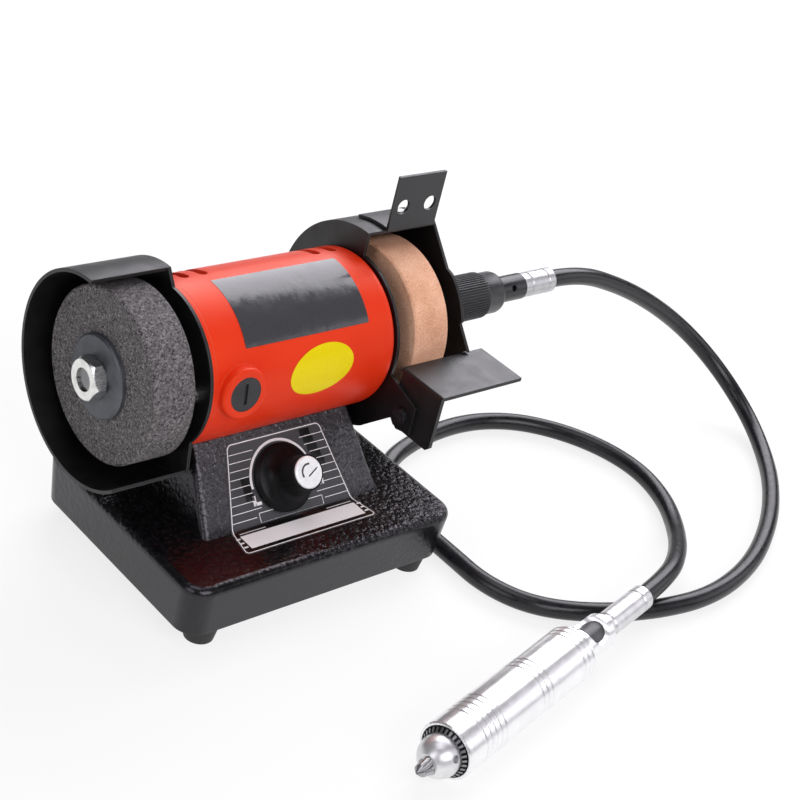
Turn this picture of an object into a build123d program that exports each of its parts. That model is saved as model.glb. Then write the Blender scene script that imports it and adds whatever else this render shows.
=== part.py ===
"""Mini bench grinder with two 75 mm wheels, a speed dial and a chuck handpiece on a flexible shaft.

X runs along the spindle, the front faces -Y, and the bench is at Z = 0 under the middle of the base.
Lengths are in millimetres and angles in degrees.
"""
import os
from math import cos, pi, radians, sin, sqrt, tan

from build123d import *

os.makedirs("parts", exist_ok=True)

# Clearances that every piece shares
cut_over = 2.0
seat_gap = 0.05
run_gap = 0.08
body_gap = 0.3

# Spindle line
spindle_y = 18.0
spindle_z = 92.5

# Base casting
base_length = 147.0
base_depth = 115.0
base_height = 24.0
base_draft = 1.5
base_corner_radius = 10.0
base_edge_radius = 3.5
casting_wall = 3.5
post_radius = 5.5

# Bottom plate, feet and their screws
plate_thickness = 1.5
foot_height = 8.0
foot_top_radius = 8.0
foot_bottom_radius = 6.5
foot_inset_x = 15.0
foot_inset_y = 10.0
foot_screw_radius = 2.0
foot_screw_head_radius = 3.8
foot_screw_head_height = 2.5
foot_screw_recess = 2.0
foot_screw_bite_length = 8.0

# Pedestal that carries the motor
pedestal_inset = 1.25
pedestal_front_y = -29.0
pedestal_rear_y = 47.0
pedestal_lean = 40.0
pedestal_side_lean = 10.0
pedestal_edge_radius = 3.0

# Motor housing and left end bell
barrel_radius = 36.0
barrel_wall = 3.0
barrel_half = 50.0
barrel_end_radius = 4.0
end_wall = 4.0
bell_flange = 2.0
bell_disc = 4.0
bearing_boss_radius = 17.5
shaft_hole_radius = 7.0
vent_length = 25.0
vent_width = 4.5
vent_angle = 60.0
vent_inset = 10.0
vent_pitch = 9.5
motor_screw_inset = 14.0
motor_screw_radius = 2.5
motor_screw_head_radius = 4.2
motor_screw_head_height = 3.0

# Motor bearings
bearing_outer_radius = 14.0
bearing_bore_radius = 6.0
bearing_width = 8.0
bearing_race = 2.4
bearing_inset = 9.5

# Stator
stator_length_share = 0.3
stator_yoke_share = 0.164
stator_air_gap = 0.5
pole_shoe_share = 0.121
pole_width_share = 0.667
pole_angle = 104.0
coil_width_share = 0.139
coil_end = 6.0
coil_thickness_share = 0.079

# Brush gear
brush_rise = 7.0
brush_boss_radius = 11.3
brush_boss_height = 3.5
brush_boss_round = 1.5
brush_holder_radius = 5.5
brush_holder_inner_share = 0.545
brush_width = 5.0
brush_depth = 7.0
brush_length_share = 0.394
brush_spring_radius = 2.4
brush_spring_wall = 0.7
brush_cap_radius = 7.6
brush_cap_height = 3.0
brush_cap_slot = 1.6
brush_cap_slot_depth = 1.0

# Armature on its shaft
shaft_radius = 6.0
armature_radius_share = 0.527
armature_slots = 10
armature_slot_width = 2.6
armature_slot_depth_share = 0.152
winding_radius_share = 0.455
winding_length = 7.0
commutator_radius_share = 0.364
commutator_length = 9.0
fan_gap = 4.5
fan_winding_gap = 1.0
fan_length = 9.0
fan_radius_share = 0.818
fan_hub_radius = 11.0
fan_disc = 1.5
fan_blade = 1.5
fan_blades = 8

# Wheels, flanges and nuts
wheel_radius = 37.5
wheel_thickness = 20.0
wheel_bore_radius = 5.0
wheel_offset = 9.7
wheel_chamfer = 0.8
flange_radius = 18.0
inner_flange_thickness = 3.0
outer_flange_thickness = 2.5
flange_dish = 0.8
flange_rim = 4.0
nut_flats = 17.0
nut_height = 6.0
shaft_recess = 1.2
drive_length = 26.0
drive_square = 5.0
drive_socket_depth = 9.0

# Wheel guards, pressed from sheet
guard_sheet = 1.5
guard_radius = 47.0
guard_front_radius = 36.0
guard_left_depth = 38.0
guard_right_depth = 40.0
guard_end_angle = 230.0
guard_lower_step_angle = 217.0
guard_left_bend_angle = 12.0
guard_left_crown_share = (0.106, 0.91)
guard_left_step_angle = 90.0
guard_right_bend_angle = 60.0
guard_right_crown_share = (-0.0425, 0.998)
guard_right_step_angle = 93.0
guard_right_end_angle = 238.0
guard_hole_radius = 9.0
guard_screw_circle_radius = 25.0
guard_screw_radius = 2.0
guard_screw_head_radius = 3.6
guard_screw_head_height = 2.2
guard_screw_bite_length = 3.4
cover_tab_width = 11.0
cover_tab_length = 9.0
cover_screw_radius = 1.5
cover_screw_head_radius = 2.9
cover_screw_head_height = 1.8
cover_screw_bite_length = 3.0
cover_screw_angles = (-62.0, -5.0, 52.0)
cover_front_shares = ((-0.04, 0.865), (-0.36, 0.45), (-0.82, 0.03), (-0.64, -0.5))

# Tool rest and the ear that it is bolted to
ear_shares = ((-0.53, -0.85), (-0.88, -0.53), (-0.98, -0.6), (-1.16, -0.56), (-1.16, -0.27), (-0.71, -0.12),
              (-0.4, -0.62))
rest_sheet = 1.8
rest_length = 49.5
rest_depth = 27.0
rest_wheel_gap = 2.0
rest_drop = 0.5
rest_plate_drop = 28.5
rest_plate_rear = 40.5
rest_corner = 2.0
rest_bend_radius = 1.5
rest_bolt_forward = 47.5
rest_bolt_drop = 20.5
rest_bolt_radius = 2.0
rest_bolt_head_radius = 3.8
rest_bolt_head_height = 2.2
rest_nut_flats = 7.0
rest_nut_height = 3.2
rest_travel = 3.5

# Eye shield bracket
bracket_width = 28.0
bracket_offset = 10.0
bracket_sheet = 1.5
bracket_height = 26.4
bracket_flange_angle = 24.0
bracket_end_angle = 94.0
bracket_hole_radius = 3.5
bracket_hole_spacing = 16.0
bracket_hole_down = 15.0
bracket_screw_angle = 80.0
bracket_screw_shift = 6.5
bracket_screw_spacing = 8.0
bracket_screw_radius = 1.5
bracket_screw_head_radius = 2.9
bracket_screw_head_height = 1.8
bracket_nut_flats = 5.5
bracket_nut_height = 2.4

# Flexible shaft coupling on the guard cover
spigot_flange_radius = 13.0
spigot_flange = 3.5
spigot_radius = 8.0
spigot_bore_radius = 5.8
spigot_length = 32.0
nut_start_x = 104.0
nut_length = 31.5
coupling_nut_radius = 11.3
coupling_nut_bore = 8.3
coupling_nose_length = 10.5
coupling_nose_radius = 10.3
coupling_nose_round = 2.5
knurl_length = 28.0
knurl_ribs = 24
knurl_groove = 0.8
sleeve_radius = 6.5
sleeve_shoulder_radius = 8.0
sleeve_shoulder = 3.0
sleeve_bore_radius = 3.2
sleeve_length = 18.0
sleeve_pin_hole_radius = 1.6
sleeve_pin_hole_angle = 150.0
core_radius = 2.5
ferrule_radius = 6.2
ferrule_length = 21.5
ferrule_groove = 0.5
ferrule_groove_width = 1.6
ferrule_groove_shares = (0.2, 0.75)

# Speed dial
dial_x = -2.0
dial_height = 17.1
dial_gap = 0.8
skirt_radius = 15.2
skirt_thickness = 2.6
skirt_hollow_radius = 6.5
skirt_hollow_depth = 4.5
knob_neck_radius = 8.2
knob_flare_height = 11.0
knob_tip_radius = 7.9
knob_length = 19.0
knob_cap_radius = 7.1
knob_cap_height = 1.6
knob_cap_recess = 0.8
dial_shaft_radius = 3.0
dial_shaft_length = 15.5
bushing_radius = 3.6
bushing_length = 4.0
pot_radius = 8.5
pot_depth = 9.0

# Speed control board inside the base
board_length = 62.0
board_width = 40.0
board_thickness = 1.6
board_y = -10.0
board_post_radius = 2.5
board_post_height = 4.0
board_post_inset = 4.0
choke_radius = 8.0
choke_height = 7.0
capacitor_length = 18.0
capacitor_width = 9.0
capacitor_height = 10.0
heat_sink_length = 22.0
heat_sink_width = 8.0
heat_sink_height = 10.5
heat_sink_fins = 4
heat_sink_fin = 1.0
heat_sink_base = 3.0

# Cord inlet in the rear wall
inlet_x = -42.0
inlet_z = 20.0
inlet_radius = 6.0
inlet_bore_radius = 3.6
inlet_lip = 1.8
inlet_lip_radius = 8.0

# Handpiece that lies in front of the base
handpiece_x = -21.5
handpiece_y = -158.3
handpiece_yaw = 11.25
handpiece_pitch = 1.12
grip_radius = 12.5
grip_length = 97.0
grip_round = 4.5
grip_rim_chamfer = 0.6
grip_front_pocket_radius = 11.2
grip_front_pocket = 24.0
grip_bore_radius = 6.0
groove_depth = 0.5
groove_width = 1.0
groove_pitch = 3.4
groove_counts = (5, 3, 3)
groove_starts = (11.0, 52.0, 84.0)
neck_radius = 8.0
neck_length = 20.0
saddle_cut_radius = 7.5
saddle_cut_offset = 10.2
insert_radius = 6.1
insert_bore_radius = 4.6
insert_start = 84.0
tool_ferrule_radius = 5.85
tool_ferrule_length = 37.0
tool_ferrule_groove_shares = (0.12, 0.82)

# Handpiece spindle and bearings
hand_spindle_radius = 4.0
hand_bearing_outer = 8.0
hand_bearing_width = 5.0
hand_bearing_race = 1.5
hand_bearing_front = 26.0
hand_bearing_rear = 74.0

# Drill chuck
chuck_body_radius = 8.7
chuck_rear = 22.0
nose_length = 11.5
nose_tip_radius = 4.6
nose_start = -1.5
nose_bulge_shares = (0.167, 0.083)
sleeve_teeth = 30
tooth_depth = 0.9
tooth_width = 1.1
toothed_ring_radius = 10.7
toothed_ring_front = -1.2
toothed_ring_length = 10.0
toothed_ring_chamfer = 1.6
key_hole_radius = 1.6
key_hole_depth = 3.0
key_hole_back = 4.5
jaw_radius = 2.1
jaw_lean = 14.0
jaw_length = 14.5
jaw_tip = 19.0
jaw_travel = 12.4
jaw_split = 0.12
jaw_cone_radius = 3.2
jaw_count = 3

# Flexible sheath: its route from the coupling over the bench to the handpiece
sheath_radius = 4.5
sheath_bend_share = 0.45
sheath_lead = 25.0
sheath_route = (
    (208, 18, 92.5), (245, 17.5, 75), (277.5, 14.5, 60.5), (310, 8.5, 40.5), (328, -9, 23), (330, -34.5, 9),
    (314, -61, 4.5), (291, -84.5, 4.5), (259.5, -107.5, 4.5), (220, -127, 4.5), (180, -135, 4.5),
    (144.5, -129.5, 4.5), (115, -116.5, 4.5), (92, -100.5, 4.5), (79.5, -79.5, 4.5), (79.5, -55, 4.5),
    (80.5, -30.5, 4.5), (88, -8, 4.5), (104, 11.5, 4.5), (130.5, 23.5, 4.5), (164.5, 29, 4.5),
    (192.5, 20.5, 4.5), (212, 3, 4.5), (224.5, -20, 4.5), (227.5, -45, 4.5), (219.5, -69, 4.5),
    (202.5, -90.5, 6.5), (179.5, -109.5, 12.5),
)

# Sizes that follow from the ones above
base_top_z = foot_height + base_height
pedestal_top_z = spindle_z - barrel_radius / 2
saddle_radius = barrel_radius + seat_gap
barrel_bore_radius = barrel_radius - barrel_wall
armature_radius = armature_radius_share * barrel_bore_radius
armature_slot_depth = armature_slot_depth_share * barrel_bore_radius
winding_radius = winding_radius_share * barrel_bore_radius
commutator_radius = commutator_radius_share * barrel_bore_radius
fan_radius = fan_radius_share * barrel_bore_radius
stator_yoke = stator_yoke_share * barrel_bore_radius
stator_bore_radius = armature_radius + stator_air_gap
pole_shoe = pole_shoe_share * barrel_bore_radius
pole_width = pole_width_share * barrel_bore_radius
coil_width = coil_width_share * barrel_bore_radius
coil_thickness = coil_thickness_share * barrel_bore_radius
brush_holder_inner = brush_holder_inner_share * barrel_bore_radius
brush_length = brush_length_share * barrel_bore_radius
housing_left_x = bell_flange - barrel_half
bell_disc_x = housing_left_x + bell_disc
bearing_start_x = barrel_half - bearing_inset
bearing_end_x = bearing_start_x + bearing_width
motor_screw_x = barrel_half - motor_screw_inset
fan_x = bearing_start_x - fan_gap - fan_length
stator_length = 2 * barrel_half * stator_length_share
stator_x = fan_x - fan_winding_gap - winding_length - stator_length / 2
commutator_x = seat_gap - bearing_start_x
brush_x = commutator_x + commutator_length / 2
brush_boss_root = barrel_radius - sqrt(barrel_radius ** 2 - brush_boss_radius ** 2) + body_gap
pedestal_width = 2 * (barrel_half - pedestal_inset)
bearing_seat_radius = bearing_outer_radius + seat_gap
wheel_in_x = barrel_half + wheel_offset
wheel_out_x = wheel_in_x + wheel_thickness
shoulder_x = wheel_in_x - inner_flange_thickness
nut_in_x = wheel_out_x + outer_flange_thickness
nut_out_x = nut_in_x + nut_height
arbor_radius = wheel_bore_radius - seat_gap
shaft_left_x = shaft_recess - nut_out_x
shaft_right_x = wheel_out_x + drive_length
cover_x = barrel_half + guard_right_depth
cover_out_x = cover_x + guard_sheet
spigot_end_x = cover_out_x + spigot_length
nut_end_x = nut_start_x + nut_length
nose_end_x = nut_end_x + coupling_nose_length
sleeve_end_x = nose_end_x + sleeve_length
ferrule_end_x = sleeve_end_x + ferrule_length
holder_end = barrel_radius + brush_boss_height - brush_cap_height
dial_face_run = dial_height * sin(radians(pedestal_lean))
dial_face_rise = dial_height * cos(radians(pedestal_lean))
grip_end = grip_length + neck_length
hand_end = grip_end + tool_ferrule_length
rest_plate_x = barrel_half + guard_sheet + seat_gap
rest_top_z = spindle_z - rest_drop
rest_rear = wheel_radius + rest_wheel_gap
rest_front = rest_rear + rest_depth
foot_pitch_x = base_length - 2 * foot_inset_x
foot_pitch_y = base_depth - 2 * foot_inset_y
plate_top_z = foot_height + plate_thickness

# Planes and axes that the pieces are built on
spindle_section = Plane(origin=(0, spindle_y, spindle_z), x_dir=(1, 0, 0), z_dir=(0, -1, 0))
spindle_axis = Axis(spindle_section.origin, spindle_section.x_dir)
dial_face = Plane(
    origin=(dial_x, pedestal_front_y + dial_face_run, base_top_z + dial_face_rise),
    x_dir=(1, 0, 0),
    z_dir=(0, -cos(radians(pedestal_lean)), sin(radians(pedestal_lean))),
)
dial_section = Plane(origin=dial_face.origin, x_dir=dial_face.z_dir, z_dir=(1, 0, 0))
dial_axis = Axis(dial_face.origin, dial_face.z_dir)
hand_front = Vector(handpiece_x, handpiece_y, grip_radius * cos(radians(handpiece_pitch)))
hand_side = Vector(sin(radians(handpiece_yaw)), -cos(radians(handpiece_yaw)), 0)
hand_line = Vector(-hand_side.Y, hand_side.X, tan(radians(handpiece_pitch))).normalized()
hand_section = Plane(origin=hand_front, x_dir=hand_line, z_dir=hand_side)
hand_axis = Axis(hand_front, hand_line)


def along(x):
    """Plane across the spindle at x, with its own x to the rear and its y up."""
    return Plane(origin=(x, spindle_y, spindle_z), x_dir=(0, 1, 0), z_dir=(1, 0, 0))


def radial(x, angle):
    """Plane through the spindle line at x that faces outwards at this angle from the rear."""
    out = (0, cos(radians(angle)), sin(radians(angle)))
    return Plane(origin=(x, spindle_y, spindle_z), x_dir=(1, 0, 0), z_dir=out)


def across(distance, angle=0.0):
    """Plane across the handpiece at this distance behind its front rim, turned about its line."""
    origin = hand_front + hand_line * distance
    out = hand_side * cos(radians(angle)) + hand_section.y_dir * sin(radians(angle))
    return Plane(origin=origin, x_dir=out, z_dir=hand_line)


def ring(start, end, inner, outer):
    """Corners of a turned ring in section."""
    return (start, inner), (end, inner), (end, outer), (start, outer)


def outline(plane, *points):
    """Closed face through these points."""
    with BuildSketch(plane) as face:
        with BuildLine():
            Polyline(*points, close=True)
        make_face()
    return face.sketch


def hexagon(plane, flats):
    """Hexagon across these flats."""
    with BuildSketch(plane) as face:
        RegularPolygon(flats / 2, 6, major_radius=False)
    return face.sketch


def disc(plane, radius):
    """Round face on the middle of a plane."""
    with BuildSketch(plane) as face:
        Circle(radius)
    return face.sketch


# Base casting: a deck on four walls with the hollow pedestal, poured as one piece
def pedestal_block(inset, start_z):
    """Pedestal with sloping front and sides, set in by this much from its outer faces."""
    with BuildPart() as block:
        for z in (start_z, pedestal_top_z):
            rise = z - base_top_z
            lean = radians(pedestal_lean)
            side_lean = radians(pedestal_side_lean)
            front = pedestal_front_y + inset / cos(lean) + rise * tan(lean)
            rear = pedestal_rear_y - inset
            side = inset / cos(side_lean) + rise * tan(side_lean)
            with BuildSketch(Plane.XY.offset(z)):
                with Locations((0, (front + rear) / 2)):
                    Rectangle(pedestal_width - 2 * side, rear - front)
        loft()
    return block


pedestal = pedestal_block(0, base_top_z - casting_wall)
with BuildPart() as pedestal_shell:
    add(pedestal.part)
    steep = sin(radians(pedestal_lean)) / 2
    upright = pedestal_shell.edges().filter_by(lambda edge: abs(edge.tangent_at(0).Z) > steep)
    fillet(upright, pedestal_edge_radius)

with BuildPart() as pedestal_hollow:
    add(pedestal_block(casting_wall, base_top_z - casting_wall - cut_over).part)
    extrude(disc(along(-base_length / 2), saddle_radius + casting_wall), amount=base_length,
            mode=Mode.SUBTRACT)

with BuildPart() as base_casting:
    for z, inset in ((foot_height, base_draft), (base_top_z, 0)):
        with BuildSketch(Plane.XY.offset(z)):
            RectangleRounded(base_length - 2 * inset, base_depth - 2 * inset, base_corner_radius)
    loft(ruled=True)
    fillet(base_casting.faces().sort_by(Axis.Z)[-1].edges(), base_edge_radius)
    for z, inset in ((foot_height, base_draft + casting_wall), (base_top_z - casting_wall, casting_wall)):
        with BuildSketch(Plane.XY.offset(z)):
            RectangleRounded(base_length - 2 * inset, base_depth - 2 * inset,
                             base_corner_radius - casting_wall)
    loft(ruled=True, mode=Mode.SUBTRACT)
    with BuildSketch(Plane.XY.offset(plate_top_z)):
        with GridLocations(foot_pitch_x, foot_pitch_y, 2, 2):
            Circle(post_radius)
    extrude(amount=base_height - plate_thickness - casting_wall / 2)
    with BuildSketch(Plane.XY.offset(plate_top_z)):
        with GridLocations(foot_pitch_x, foot_pitch_y, 2, 2):
            Circle(foot_screw_radius + seat_gap)
    extrude(amount=foot_screw_bite_length, mode=Mode.SUBTRACT)
    add(pedestal_shell.part)
    add(pedestal_hollow.part, mode=Mode.SUBTRACT)
    extrude(disc(along(-base_length / 2), saddle_radius), amount=base_length, mode=Mode.SUBTRACT)
    for x in (-motor_screw_x, motor_screw_x):
        extrude(disc(radial(x, 270), motor_screw_radius + seat_gap),
                amount=barrel_radius + casting_wall + cut_over, mode=Mode.SUBTRACT)
    extrude(disc(dial_face.offset(-casting_wall - cut_over), bushing_radius + seat_gap),
            amount=casting_wall + 2 * cut_over, mode=Mode.SUBTRACT)
    with BuildSketch(Plane.XZ.offset(-base_depth / 2 - cut_over)):
        with Locations((inlet_x, inlet_z)):
            Circle(inlet_radius + seat_gap)
    extrude(amount=casting_wall + base_draft + 2 * cut_over, mode=Mode.SUBTRACT)

# Bottom plate, pressed into the rim against the four posts
with BuildPart() as bottom_plate:
    with BuildSketch(Plane.XY.offset(foot_height)):
        inset = base_draft + casting_wall + seat_gap
        RectangleRounded(base_length - 2 * inset, base_depth - 2 * inset, base_corner_radius - casting_wall)
        with GridLocations(foot_pitch_x, foot_pitch_y, 2, 2):
            Circle(foot_screw_radius + seat_gap, mode=Mode.SUBTRACT)
    extrude(amount=plate_thickness)

# Rubber feet with a pocket for the screw head
with BuildPart() as rubber_feet:
    with GridLocations(foot_pitch_x, foot_pitch_y, 2, 2):
        Cone(foot_bottom_radius, foot_top_radius, foot_height, align=(Align.CENTER, Align.CENTER, Align.MIN))
        Cylinder(foot_screw_radius + seat_gap, foot_height, align=(Align.CENTER, Align.CENTER, Align.MIN),
                 mode=Mode.SUBTRACT)
        Cylinder(foot_screw_head_radius + seat_gap, foot_screw_recess + foot_screw_head_height,
                 align=(Align.CENTER, Align.CENTER, Align.MIN), mode=Mode.SUBTRACT)

with BuildPart() as foot_screws:
    with GridLocations(foot_pitch_x, foot_pitch_y, 2, 2):
        with Locations((0, 0, foot_screw_recess)):
            Cylinder(foot_screw_head_radius, foot_screw_head_height,
                     align=(Align.CENTER, Align.CENTER, Align.MIN))
            Cylinder(foot_screw_radius, plate_top_z - foot_screw_recess + foot_screw_bite_length - seat_gap,
                     align=(Align.CENTER, Align.CENTER, Align.MIN))

# Motor housing: a moulded barrel with its right end wall, brush bosses and vents
brush_planes = (radial(brush_x, 180 - brush_rise), radial(brush_x, 360 - brush_rise))
with BuildPart() as motor_housing:
    revolve(outline(
        spindle_section,
        (housing_left_x, barrel_bore_radius), (housing_left_x, barrel_radius), (barrel_half, barrel_radius),
        (barrel_half, shaft_hole_radius), (bearing_end_x, shaft_hole_radius),
        (bearing_end_x, bearing_seat_radius), (bearing_start_x, bearing_seat_radius),
        (bearing_start_x, bearing_boss_radius),
        (barrel_half - end_wall, bearing_boss_radius), (barrel_half - end_wall, barrel_bore_radius),
    ), axis=spindle_axis)
    end_rims = motor_housing.edges().filter_by(GeomType.CIRCLE).group_by(Axis.X)[-1]
    outer_rim = end_rims.sort_by(SortBy.RADIUS)[-1]
    fillet(outer_rim, barrel_end_radius)
    for plane in brush_planes:
        extrude(disc(plane.offset(barrel_radius - brush_boss_root), brush_boss_radius),
                amount=brush_boss_height + brush_boss_root)
    tops = motor_housing.edges().filter_by(GeomType.CIRCLE).filter_by(
        lambda edge: abs(edge.radius - brush_boss_radius) < seat_gap)
    fillet(tops, brush_boss_round)
    for plane in brush_planes:
        extrude(disc(plane.offset(brush_holder_inner), brush_holder_radius + seat_gap),
                amount=barrel_radius + brush_boss_height, mode=Mode.SUBTRACT)
        extrude(disc(plane.offset(holder_end), brush_cap_radius + seat_gap),
                amount=brush_boss_height + cut_over, mode=Mode.SUBTRACT)
    for side in (-1, 1):
        for step in (0, 1):
            vent_x = side * (barrel_half - vent_inset - step * vent_pitch)
            with BuildSketch(radial(vent_x, vent_angle).offset(armature_radius)):
                SlotOverall(vent_length, vent_width, rotation=90)
            extrude(amount=barrel_radius, mode=Mode.SUBTRACT)
    for x in (-motor_screw_x, motor_screw_x):
        extrude(disc(radial(x, 270).offset(barrel_bore_radius - cut_over), motor_screw_radius + seat_gap),
                amount=barrel_wall + 2 * cut_over, mode=Mode.SUBTRACT)
    with BuildSketch(along(barrel_half - end_wall)):
        with PolarLocations(guard_screw_circle_radius, 3, start_angle=60):
            Circle(guard_screw_radius + seat_gap)
    extrude(amount=end_wall + cut_over, mode=Mode.SUBTRACT)

with BuildPart() as left_end_bell:
    revolve(outline(
        spindle_section,
        (-barrel_half, shaft_hole_radius), (-barrel_half, barrel_radius), (housing_left_x, barrel_radius),
        (housing_left_x, barrel_bore_radius - seat_gap), (bell_disc_x, barrel_bore_radius - seat_gap),
        (bell_disc_x, bearing_boss_radius), (-bearing_start_x, bearing_boss_radius),
        (-bearing_start_x, bearing_seat_radius), (-bearing_end_x, bearing_seat_radius),
        (-bearing_end_x, shaft_hole_radius),
    ), axis=spindle_axis)
    with BuildSketch(along(-barrel_half)):
        with PolarLocations(guard_screw_circle_radius, 3, start_angle=60):
            Circle(guard_screw_radius + seat_gap)
    extrude(amount=bell_flange + bell_disc, mode=Mode.SUBTRACT)

head_seat = saddle_radius + casting_wall + seat_gap
with BuildPart() as motor_screws:
    for x in (-motor_screw_x, motor_screw_x):
        below = radial(x, 270)
        extrude(disc(below.offset(barrel_bore_radius), motor_screw_radius),
                amount=head_seat - barrel_bore_radius + motor_screw_head_height)
        extrude(disc(below.offset(head_seat), motor_screw_head_radius), amount=motor_screw_head_height)

# Motor bearings, one ring each side of the balls
with BuildPart() as bearing_outer_rings:
    for start in (-bearing_end_x, bearing_start_x):
        revolve(outline(spindle_section, *ring(
            start, start + bearing_width, bearing_outer_radius - bearing_race, bearing_outer_radius,
        )), axis=spindle_axis)

with BuildPart() as bearing_inner_rings:
    for start in (-bearing_end_x, bearing_start_x):
        revolve(outline(spindle_section, *ring(start, start + bearing_width, bearing_bore_radius + seat_gap,
                                               bearing_bore_radius + bearing_race)), axis=spindle_axis)

# Stator: a stack of sheets with two poles, and a coil round each pole
stator_left_x = stator_x - stator_length / 2
stator_radius = barrel_bore_radius - seat_gap
yoke_bore_radius = stator_radius - stator_yoke
with BuildPart() as stator_core:
    with BuildSketch(along(stator_left_x)):
        Circle(stator_radius)
        Circle(yoke_bore_radius, mode=Mode.SUBTRACT)
        for angle in (90, 270):
            with BuildLine():
                shoe_start = angle - pole_angle / 2
                shoe_top = CenterArc((0, 0), stator_bore_radius + pole_shoe, shoe_start, pole_angle)
                shoe_face = CenterArc((0, 0), stator_bore_radius, shoe_start, pole_angle)
                Line(shoe_top @ 0, shoe_face @ 0)
                Line(shoe_top @ 1, shoe_face @ 1)
            make_face()
        Rectangle(pole_width, 2 * yoke_bore_radius + stator_yoke)
        Circle(stator_bore_radius, mode=Mode.SUBTRACT)
    extrude(amount=stator_length)

coil_top = sqrt((yoke_bore_radius - body_gap) ** 2 - (pole_width / 2 + body_gap + coil_width) ** 2)
with BuildPart() as field_coils:
    for side in (-1, 1):
        start_z = spindle_z + side * coil_top - (coil_thickness if side > 0 else 0)
        with BuildSketch(Plane.XY.offset(start_z)):
            with Locations((stator_x, spindle_y)):
                opening_length = stator_length + 2 * body_gap
                opening_width = pole_width + 2 * body_gap
                RectangleRounded(opening_length + 2 * coil_end, opening_width + 2 * coil_width, coil_width)
                Rectangle(opening_length, opening_width, mode=Mode.SUBTRACT)
        extrude(amount=coil_thickness)

# Brush gear: holder, carbon, spring and screw cap on each side of the commutator
brush_start = commutator_radius + run_gap
with BuildPart() as brush_holders:
    for plane in brush_planes:
        with BuildSketch(plane.offset(brush_holder_inner)):
            Circle(brush_holder_radius)
            Rectangle(brush_width + 2 * seat_gap, brush_depth + 2 * seat_gap, mode=Mode.SUBTRACT)
        extrude(amount=holder_end - brush_holder_inner - seat_gap)

with BuildPart() as carbon_brushes:
    for plane in brush_planes:
        with BuildSketch(plane.offset(brush_start)):
            Rectangle(brush_width, brush_depth)
        extrude(amount=brush_length)

with BuildPart() as brush_springs:
    for plane in brush_planes:
        with BuildSketch(plane.offset(brush_start + brush_length + seat_gap)):
            Circle(brush_spring_radius)
            Circle(brush_spring_radius - brush_spring_wall, mode=Mode.SUBTRACT)
        extrude(amount=holder_end - brush_start - brush_length - 2 * seat_gap)

with BuildPart() as brush_caps:
    for plane in brush_planes:
        extrude(disc(plane.offset(holder_end), brush_cap_radius), amount=brush_cap_height)
        with BuildSketch(plane.offset(holder_end + brush_cap_height - brush_cap_slot_depth)):
            Rectangle(brush_cap_slot, 2 * brush_cap_radius - 2 * barrel_wall)
        extrude(amount=brush_cap_slot_depth + cut_over, mode=Mode.SUBTRACT)

# Armature: shaft, core, end windings, commutator and fan
with BuildPart() as armature_shaft:
    revolve(outline(
        spindle_section,
        (shaft_left_x, 0), (shaft_left_x, arbor_radius), (-shoulder_x, arbor_radius),
        (-shoulder_x, shaft_radius), (shoulder_x, shaft_radius), (shoulder_x, arbor_radius),
        (shaft_right_x, arbor_radius), (shaft_right_x, 0),
    ), axis=spindle_axis)
    with BuildSketch(along(shaft_right_x - drive_socket_depth)):
        Rectangle(drive_square + 2 * seat_gap, drive_square + 2 * seat_gap)
    extrude(amount=drive_socket_depth + cut_over, mode=Mode.SUBTRACT)

with BuildPart() as armature_core:
    with BuildSketch(along(stator_left_x)):
        Circle(armature_radius)
        Circle(shaft_radius + seat_gap, mode=Mode.SUBTRACT)
        with PolarLocations(armature_radius - armature_slot_depth / 2, armature_slots):
            Rectangle(armature_slot_depth + seat_gap, armature_slot_width, mode=Mode.SUBTRACT)
    extrude(amount=stator_length)

with BuildPart() as armature_windings:
    for start in (stator_left_x - winding_length - seat_gap, stator_left_x + stator_length + seat_gap):
        revolve(outline(spindle_section, *ring(
            start, start + winding_length, shaft_radius + seat_gap, winding_radius,
        )), axis=spindle_axis)

with BuildPart() as commutator:
    revolve(outline(spindle_section, *ring(
        commutator_x, commutator_x + commutator_length, shaft_radius + seat_gap, commutator_radius,
    )), axis=spindle_axis)

with BuildPart() as cooling_fan:
    with BuildSketch(along(fan_x)):
        Circle(fan_hub_radius)
        with PolarLocations((fan_hub_radius + fan_radius) / 2, fan_blades):
            Rectangle(fan_radius - fan_hub_radius + fan_blade, fan_blade)
        Circle(shaft_radius + seat_gap, mode=Mode.SUBTRACT)
    extrude(amount=fan_length)
    with BuildSketch(along(fan_x)):
        Circle(fan_radius)
        Circle(shaft_radius + seat_gap, mode=Mode.SUBTRACT)
    extrude(amount=fan_disc)

# Grinding wheels with their flanges and nuts
def wheel(start):
    """Section of a grinding wheel that starts at this x."""
    end = start + wheel_thickness
    return outline(
        spindle_section,
        (start, wheel_bore_radius), (start, wheel_radius - wheel_chamfer),
        (start + wheel_chamfer, wheel_radius), (end - wheel_chamfer, wheel_radius),
        (end, wheel_radius - wheel_chamfer), (end, wheel_bore_radius),
    )


with BuildPart() as grey_wheel:
    revolve(wheel(-wheel_out_x), axis=spindle_axis)

with BuildPart() as brown_wheel:
    revolve(wheel(wheel_in_x), axis=spindle_axis)

with BuildPart() as inner_flanges:
    for start in (-wheel_in_x, shoulder_x):
        revolve(outline(spindle_section, *ring(
            start, start + inner_flange_thickness, wheel_bore_radius, flange_radius,
        )), axis=spindle_axis)


def outer_flange(side):
    """Section of the dished washer outside a wheel."""
    face = side * wheel_out_x
    back = side * nut_in_x
    dish = side * (wheel_out_x + flange_dish)
    return outline(
        spindle_section,
        (dish, wheel_bore_radius), (dish, flange_radius - flange_rim), (face, flange_radius - flange_rim),
        (face, flange_radius), (back - side * flange_dish, flange_radius),
        (back, flange_radius - flange_dish), (back, wheel_bore_radius),
    )


with BuildPart() as left_outer_flange:
    revolve(outer_flange(-1), axis=spindle_axis)

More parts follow.
